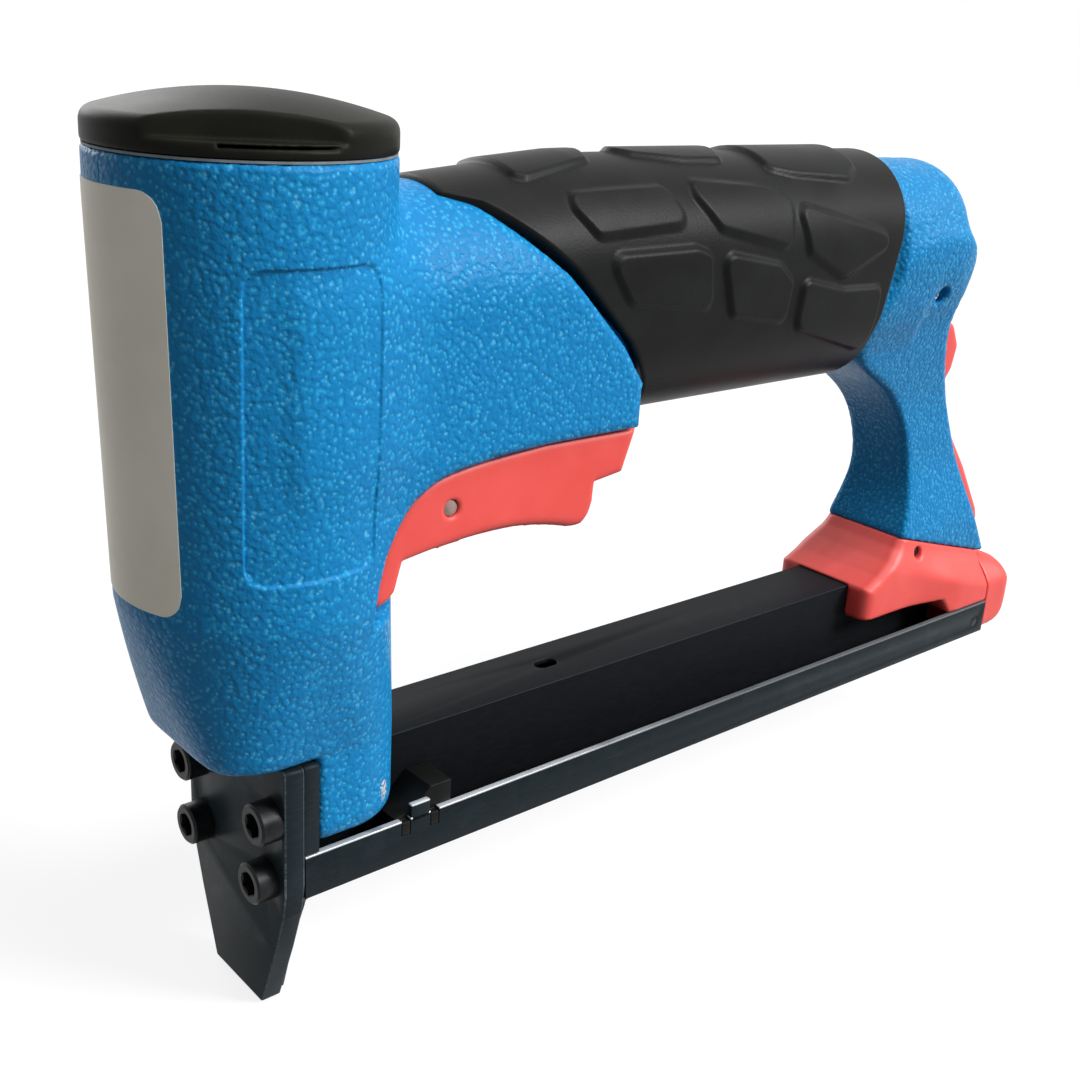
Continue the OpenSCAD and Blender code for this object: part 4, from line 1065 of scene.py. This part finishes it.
def coil_tree():
    """A round wire wound along Z from the origin."""
    t = Tree("wound_wire", "Radius", "Wire", "Length", "Turns")
    radius, wire, height, turns = t.numbers
    path = t.node("GeometryNodeCurveSpiral", None, {
        "Resolution": 32, "Rotations": turns, "Start Radius": radius, "End Radius": radius,
        "Height": height - wire})
    ring = t.node("GeometryNodeCurvePrimitiveCircle", {"mode": "RADIUS"}, {
        "Resolution": 12, "Radius": 0.5 * wire})
    tube = t.node("GeometryNodeCurveToMesh", None, {
        "Curve": path, "Profile Curve": ring, "Fill Caps": True})
    return t.close(t.moved(tube, 0.5 * wire))


def dots(name, points):
    """A mesh of loose points, in millimetres."""
    mesh = bpy.data.meshes.new(name)
    mesh.from_pydata([tuple(c * MM for c in p) for p in points], [], [])
    return mesh


def length(name, size, words):
    """A size to set, given in millimetres."""
    return FloatProperty(name=name, description=words, default=size * MM, unit="LENGTH")


def number(name, start, words):
    """A plain number to set."""
    return FloatProperty(name=name, description=words, default=start)


class StaplerSizes(bpy.types.PropertyGroup):
    """Small sizes that only the looks need."""
    gasket: length("Gasket", 0.35, "Thickness of the gasket under the cap")
    panel_depth: length("Panel depth", 0.5, "Depth of the bare panel in the head's side")
    pad_height: length("Pad height", 0.9, "Height of the grip's tread pads")
    grip_lip: length("Grip lip", 1.2, "Rounding of the grip's ends")
    film: length("Film", 0.12, "Thickness of the blank film on the head")
    edge: length("Edge", 0.28, "Bevel of the sheet steel's edges")
    body_cell: length("Body cell", 1.05, "Grid of the body's surface")
    part_cell: length("Part cell", 0.48, "Grid of the moulded parts' surfaces")


def colour(name, code, words):
    """A colour to set, given as an sRGB code."""
    return FloatVectorProperty(name=name, description=words, default=tint(code), subtype="COLOR",
                               min=0, max=1)


class StaplerLooks(bpy.types.PropertyGroup):
    """Colours and grain of the finishes."""
    blue: colour("Blue", "#2398cd", "Enamel of the body")
    blue_deep: colour("Deep blue", "#147ab4", "Dark parts of the enamel")
    # Painted highlight: the pale blue painted on the enamel's dimples in place of glints
    painted_glint_blue: colour("Blue fleck", "#7ccaec", "Pale flecks in the enamel")
    red: colour("Red", "#e8524c", "Red plastic")
    red_deep: colour("Deep red", "#df4740", "Dark clouds in the red plastic")
    red_pale: colour("Pale red", "#f29a8c", "Scuffs on the red plastic")
    rubber: colour("Rubber", "#0c0c0d", "Grip rubber")
    rubber_bloom: colour("Rubber bloom", "#131414", "Bloom on the grip rubber")
    cap: colour("Cap", "#151512", "Black plastic of the cap")
    cap_second: colour("Cap clouds", "#1b1b16", "Clouds in the cap's plastic")
    gunmetal: colour("Gunmetal", "#1a2226", "Blued steel of the nose and rail")
    gunmetal_worn: colour("Worn gunmetal", "#2c363c", "Rubbed blued steel")
    magazine: colour("Magazine", "#0f1114", "Blacked steel of the magazine")
    magazine_worn: colour("Worn magazine", "#1f2226", "Rubbed blacked steel")
    edge: colour("Edge", "#7d8893", "Worn edges")
    edge_bright: colour("Bright edge", "#d5dade", "Bare edges")
    screw: colour("Screw", "#0e0f10", "Blacked screws")
    screw_worn: colour("Worn screw", "#222427", "Rubbed screws")
    gasket: colour("Gasket", "#7d858a", "Gasket under the cap")
    gasket_dark: colour("Dark gasket", "#5c6469", "Dark places of the gasket")
    pin: colour("Pin", "#96807a", "Dull steel pin")
    pin_dark: colour("Dark pin", "#77655f", "Dark places of the pin")
    film: colour("Film", "#fbf7ea", "Blank film")
    film_worn: colour("Worn film", "#f1ecdc", "Worn places of the film")
    hammer_size: number("Hammer size", 0.9, "Size of the enamel's dimples in millimetres")


class StaplerStage(bpy.types.PropertyGroup):
    """Camera and light."""
    camera_place: FloatVectorProperty(name="Camera place", description="Where the camera stands",
                                      default=(-0.104042, -0.188708, 0.166409), subtype="TRANSLATION")
    camera_turn: FloatVectorProperty(name="Camera turn", description="How the camera is turned",
                                     default=tuple(math.radians(a) for a in (69.49, -3.3561, -40.2842)),
                                     subtype="EULER")
    lens: number("Lens", 46.144, "Focal length on a 36 mm sensor")
    key: number("Key", 3.3, "Strength of the key light")
    back: number("Back", 1.5, "Strength of the light on the far side")
    strip: number("Strip", 1.9, "Power of the light above")
    ambient: number("Ambient", 0.15, "Strength of the light from all round")
    glow: number("Glow", 0.82, "What the floor adds to its own light where it is seen")
    floor: colour("Floor", "#808080", "Floor")


class STAPLER_OT_body(bpy.types.Operator):
    """Makes the cast body"""
    bl_idname = "stapler.body"
    bl_label = "Body"

    def execute(self, context):
        sizes = context.scene.stapler_sizes
        # The grid is closer at the panel's edges and round the inlet pin
        rows = [((PANEL[0][d], 0.8, 0.22), (PANEL[1][d], 0.8, 0.22), (INLET_PIN[d], 2.5, 0.5))
                for d in range(2)]
        along, up = ([(at - half, at + half, cell) for at, half, cell in row] for row in rows)
        obj = skin("body_casting", body_shape(sizes), "body", sizes.body_cell / MM, (along, (), up))
        dress(obj, "blue_casting", [finishes(context)["hammered_blue"]], "body")
        return {"FINISHED"}


class STAPLER_OT_cap(bpy.types.Operator):
    """Makes the head's cap, the gasket under it and the blank film on the head"""
    bl_idname = "stapler.cap"
    bl_label = "Cap, gasket and film"

    def execute(self, context):
        sizes, made = context.scene.stapler_sizes, finishes(context)
        obj = skin("cap_moulding", cap_shape, "head_cap", sizes.part_cell / MM)
        dress(obj, "black_plastic", [made["cap_black"]], "head_cap")
        outer, inner, under = HEAD_R - 0.2, BORE_R + 0.6, HEAD_Z - sizes.gasket / MM
        turns = np.linspace(0, 2 * math.pi, 128, endpoint=False)
        rings = [(r * math.cos(a), r * math.sin(a), z)
                 for r, z in ((inner, under), (outer, under), (outer, HEAD_Z), (inner, HEAD_Z))
                 for a in turns]
        gasket = mesh_piece("cap_gasket", rings, ring_faces(4, len(turns)))
        smoothed(gasket.data, 40)
        dress(gasket, "seal_rubber", [made["gasket_grey"]], body="frame")
        dress(film_mesh("blank_film", sizes), "pale_plastic", [made["blank_film"]], body="frame")
        return {"FINISHED"}


class STAPLER_OT_grip(bpy.types.Operator):
    """Makes the rubber grip"""
    bl_idname = "stapler.grip"
    bl_label = "Grip"

    def execute(self, context):
        obj = grip_mesh("grip_rubber", context.scene.stapler_sizes)
        dress(obj, "grip_rubber", [finishes(context)["tread_rubber"]], "grip_sleeve")
        return {"FINISHED"}


class STAPLER_OT_red_parts(bpy.types.Operator):
    """Makes the trigger, the rear bracket, the tail cap and the latch lever"""
    bl_idname = "stapler.red_parts"
    bl_label = "Red parts"

    def execute(self, context):
        cell = context.scene.stapler_sizes.part_cell / MM
        for node, field in (("trigger", trigger_shape), ("rear_bracket", bracket_shape),
                            ("tail_cap", tail_shape), ("latch_lever", lever_shape)):
            obj = skin(node + "_moulding", field, node, cell)
            dress(obj, "red_plastic", [finishes(context)["coral_plastic"]], node)
        return {"FINISHED"}


class STAPLER_OT_steel(bpy.types.Operator):
    """Makes the nose plates, the rail, the magazine and the guide shoes"""
    bl_idname = "stapler.steel"
    bl_label = "Nose and magazine"

    def execute(self, context):
        made, edge = finishes(context), context.scene.stapler_sizes.edge / MM
        for node, slot, finish, edges in (
                ("nose_plate", "black_steel", "blued_steel", "worn_edge"),
                ("driver_guide", "black_steel", "blued_steel", "blued_steel"),
                ("slide_rail", "black_steel", "rail_steel", "rail_steel"),
                ("fixed_magazine", "black_magazine", "black_sheet", "blued_steel")):
            dress(softened(node, edge, 1), slot, [made[finish], made[edges]], node)
        dress(softened("rail_guides", edge), "black_plastic", [made["shoe_black"]], "rail_guides")
        mesh = bpy.data.meshes.new("rail_teeth")
        thick, sunk = 1.2, 1
        size = [c * MM for c in (TOOTH_X[1] - TOOTH_X[0], thick, TOOTH_H + sunk)] + [1]
        with editing(mesh) as work:
            for side in (-1, 1):
                place = Vector((sum(TOOTH_X) / 2, side * (HALF_W - thick / 2),
                                RAIL_TOP + (TOOTH_H - sunk) / 2))
                shape = Matrix.Translation(place * MM) @ Matrix.Diagonal(size)
                bmesh.ops.create_cube(work, size=1, matrix=shape)
            bmesh.ops.bevel(work, geom=work.edges, offset=edge * MM, segments=2, affect="EDGES", profile=0.5)
        smoothed(mesh, 40)
        dress(piece("rail_teeth", mesh), "black_steel", [made["tooth_steel"]],
              body=body_of(frame["nodes"]["slide_rail"])[0])
        return {"FINISHED"}


class STAPLER_OT_screws(bpy.types.Operator):
    """Makes the four nose screws"""
    bl_idname = "stapler.screws"
    bl_label = "Nose screws"

    def execute(self, context):
        made = finishes(context)
        plate_x = extent("nose_plate")[0].x
        shank = extent("nose_screws")[1].x - plate_x
        head_h = plate_x - extent("nose_screws")[0].x
        tree = screw_tree()
        mesh = bpy.data.meshes.new("socket_screws")
        with editing(mesh) as work:
            for (y, z), reach in ((HIGH_SCREW, shank), (LOW_SCREW, NOSE_BACK - plate_x)):
                values = {"Head radius": 3.7 * MM, "Head height": head_h * MM, "Key radius": 2.31 * MM,
                          "Key depth": 2.6 * MM, "Shank radius": 2.47 * MM, "Shank length": reach * MM,
                          "Chamfer": 0.4 * MM, "Material": made["screw_black"]}
                places = dots("screw_places", [(plate_x, y, z), (plate_x, -y, z)])
                row = tree.make("screw_row", places, values)
                work.from_mesh(row.data)
                bpy.data.objects.remove(row)
            bmesh.ops.remove_doubles(work, verts=work.verts, dist=1e-6)
        smoothed(mesh, 30)
        if len(mesh.polygons) < 40:
            raise RuntimeError("the screw tree gave no screws")
        dress(piece("socket_screws", mesh), "black_steel", [made["screw_black"]], "nose_screws")
        return {"FINISHED"}


def travel(joint, arm):
    """How far a joint goes in millimetres; a turning one is measured at its arm's end."""
    row = next(j for j in frame["record"]["behaviour"]["joints"] if j["name"] == joint)
    if "range_deg" in row:
        return arm * math.sin(math.radians(max(abs(a) for a in row["range_deg"])))
    return max(abs(c) for c in row["range_m"]) / MM


def end_middle(low, high, axis, end):
    """Middle of a box's low or high end along an axis, in metres."""
    point = [(a + b) / 2 * MM for a, b in zip(low, high)]
    point[axis] = (low, high)[end][axis] * MM
    return point


class STAPLER_OT_springs(bpy.types.Operator):
    """Winds the four springs"""
    bl_idname = "stapler.springs"
    bl_label = "Springs"

    def execute(self, context):
        made, tree = finishes(context), coil_tree()
        for node, axis, wire, turns, joint, seat in (
                ("head_valve_spring", 2, 1.4, 3, "head_valve_lift", 1),
                ("valve_spring", 2, 0.7, 6, "valve_stroke", 1),
                ("latch_spring", 0, 0.7, 5, "latch_rock", 0),
                ("pusher_spring", 0, 0.7, 28, "pusher_slide", 1)):
            low, high = extent(node)
            radius = (high[1] - low[1]) / 2 - wire / 2
            values = {"Radius": radius * MM, "Wire": wire * MM, "Length": (high[axis] - low[axis]) * MM,
                      "Turns": float(turns), "Material": made["spring_wire"]}
            obj = tree.make(node + "_wound", dots("spring_place", [(0, 0, 0)]), values)
            turn = Matrix.Rotation(math.pi / 2, 4, "Y") if axis == 0 else Matrix()
            obj.data.transform(Matrix.Translation(Vector(end_middle(low, high, axis, 0))) @ turn)
            obj.data.shade_smooth()
            if len(obj.data.polygons) < 100:
                raise RuntimeError("the spring tree gave no wire")
            dress(obj, "spring_steel", [made["spring_wire"]], node)
            anchor = end_middle(low, high, axis, seat)
            keep = 1 - travel(joint, high.z - LATCH_PIVOT[1]) / (high[axis] - low[axis])
            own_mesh(obj)
        return {"FINISHED"}


class STAPLER_OT_small_parts(bpy.types.Operator):
    """Makes the inlet bush and the pins, and finishes the inner parts"""
    bl_idname = "stapler.small_parts"
    bl_label = "Bush, pins and inner parts"

    def execute(self, context):
        made = finishes(context)
        dress(skin("inlet_bush_turned", bush_shape, "inlet_bush", 0.34), "brass",
              [made["turned_brass"]], "inlet_bush")
        dress(skin("inlet_pin_rolled", roll_pin_shape, "inlet_pin", 0.2), "bright_steel",
              [made["polished_steel"]], "inlet_pin")
        for node, finish in (("trigger_pin", "dull_pin"), ("latch_pin", "dull_pin"),
                             ("bracket_pin", "screw_black"), ("tail_rivet", "screw_black")):
            dress(softened(node, 0.25), "bright_steel", [made[finish]], node)
        kept = {"turned_alloy": ("cylinder_sleeve", "piston"), "bumper_amber": ("bumper",),
                "polished_steel": ("driver_blade", "pusher_rod"), "valve_ivory": ("head_valve",),
                "turned_brass": ("valve_stem", "valve_bush", "valve_cap"),
                "blued_steel": ("inner_rail", "pusher"),
                "seal_black": ("cap_seal", "sleeve_seals", "piston_ring", "head_valve_seal", "stem_seal",
                               "bush_seals")}
        for finish, nodes in kept.items():
            for node in nodes:
                for place in frame["nodes"][node].material_slots:
                    place.material = made[finish]
        return {"FINISHED"}


class STAPLER_OT_stage(bpy.types.Operator):
    """Sets the floor, the light and the camera"""
    bl_idname = "stapler.stage"
    bl_label = "Stage"

    def execute(self, context):
        scene = context.scene
        stage = scene.stapler_stage
        scene.view_settings.view_transform = "Standard"
        size, low = 6.0, CAD_BOX[0][2] - 0.0004
        mesh = bpy.data.meshes.new("floor")
        mesh.from_pydata([(-size, -size, low), (size, -size, low), (size, size, low), (-size, size, low)],
                         [], [(0, 1, 2, 3)])
        f = Finish("floor_white", Roughness=0.9, Specular_IOR_Level=0.1,
                   Base_Color=tuple(stage.floor) + (1.0,))
        matt = Value(f, f.shader.outputs[0])
        glow = f.node("ShaderNodeEmission", None, {"Color": WHITE, "Strength": stage.glow})
        bright = f.node("ShaderNodeAddShader", None, {0: matt, 1: glow})
        f.feed(f.tree.nodes["Material Output"].inputs[0],
               f.node("ShaderNodeMixShader", None, {0: f.seen(), 1: matt, 2: bright}))
        mesh.materials.append(f.material)
        piece("floor", mesh)

        scene.world = bpy.data.worlds.new("studio")
        scene.world.use_nodes = True
        sky = Graph(scene.world.node_tree)
        ground = sky.tree.nodes["Background"].inputs
        sky.feed(ground["Color"], WHITE)
        sky.feed(ground["Strength"], stage.ambient + (1 - stage.ambient) * sky.seen())

        aim = Vector((0.09, 0.0, 0.08))
        for name, kind, place, settings in (
                ("key_light", "SUN", (0.62, -0.66, 0.62), {"energy": stage.key, "angle": math.radians(22)}),
                ("back_light", "SUN", (0.15, 0.9, 0.5), {"energy": stage.back, "angle": math.radians(40)}),
                ("strip_light", "AREA", (0.15, -0.2, 0.6), {"energy": stage.strip, "size": 0.35})):
            lamp = piece(name, assign(bpy.data.lights.new(name, kind), **settings))
            lamp.location = place
            lamp.rotation_euler = (aim - Vector(place)).to_track_quat("-Z", "Y").to_euler()

        lens = assign(bpy.data.cameras.new("camera"), sensor_width=36, lens=stage.lens, clip_start=0.005,
                      clip_end=50)
        scene.camera = assign(piece("camera", lens), location=stage.camera_place,
                              rotation_euler=stage.camera_turn)
        return {"FINISHED"}


STEPS = (STAPLER_OT_stage, STAPLER_OT_body, STAPLER_OT_cap, STAPLER_OT_grip, STAPLER_OT_red_parts,
         STAPLER_OT_steel, STAPLER_OT_screws, STAPLER_OT_springs, STAPLER_OT_small_parts)


class STAPLER_PT_panel(bpy.types.Panel):
    """Lists the steps and their sizes"""
    bl_idname = "STAPLER_PT_panel"
    bl_label = "Stapler"
    bl_space_type = "VIEW_3D"
    bl_region_type = "UI"
    bl_category = "Stapler"

    def draw(self, context):
        for step in STEPS:
            self.layout.operator(step.bl_idname)
        for group in (context.scene.stapler_sizes, context.scene.stapler_looks, context.scene.stapler_stage):
            for key in group.__annotations__:
                self.layout.prop(group, key)


GROUPS = {"stapler_sizes": StaplerSizes, "stapler_looks": StaplerLooks, "stapler_stage": StaplerStage}
CLASSES = tuple(GROUPS.values()) + STEPS + (STAPLER_PT_panel,)


def register():
    for cls in CLASSES:
        bpy.utils.register_class(cls)
    for name, group in GROUPS.items():
        setattr(bpy.types.Scene, name, PointerProperty(type=group))


def unregister():
    for name in GROUPS:
        delattr(bpy.types.Scene, name)
    for cls in reversed(CLASSES):
        bpy.utils.unregister_class(cls)


def main():
    register()
    for step in STEPS:
        group, name = step.bl_idname.split(".")
        getattr(getattr(bpy.ops, group), name)()


if __name__ == "__main__":
    main()
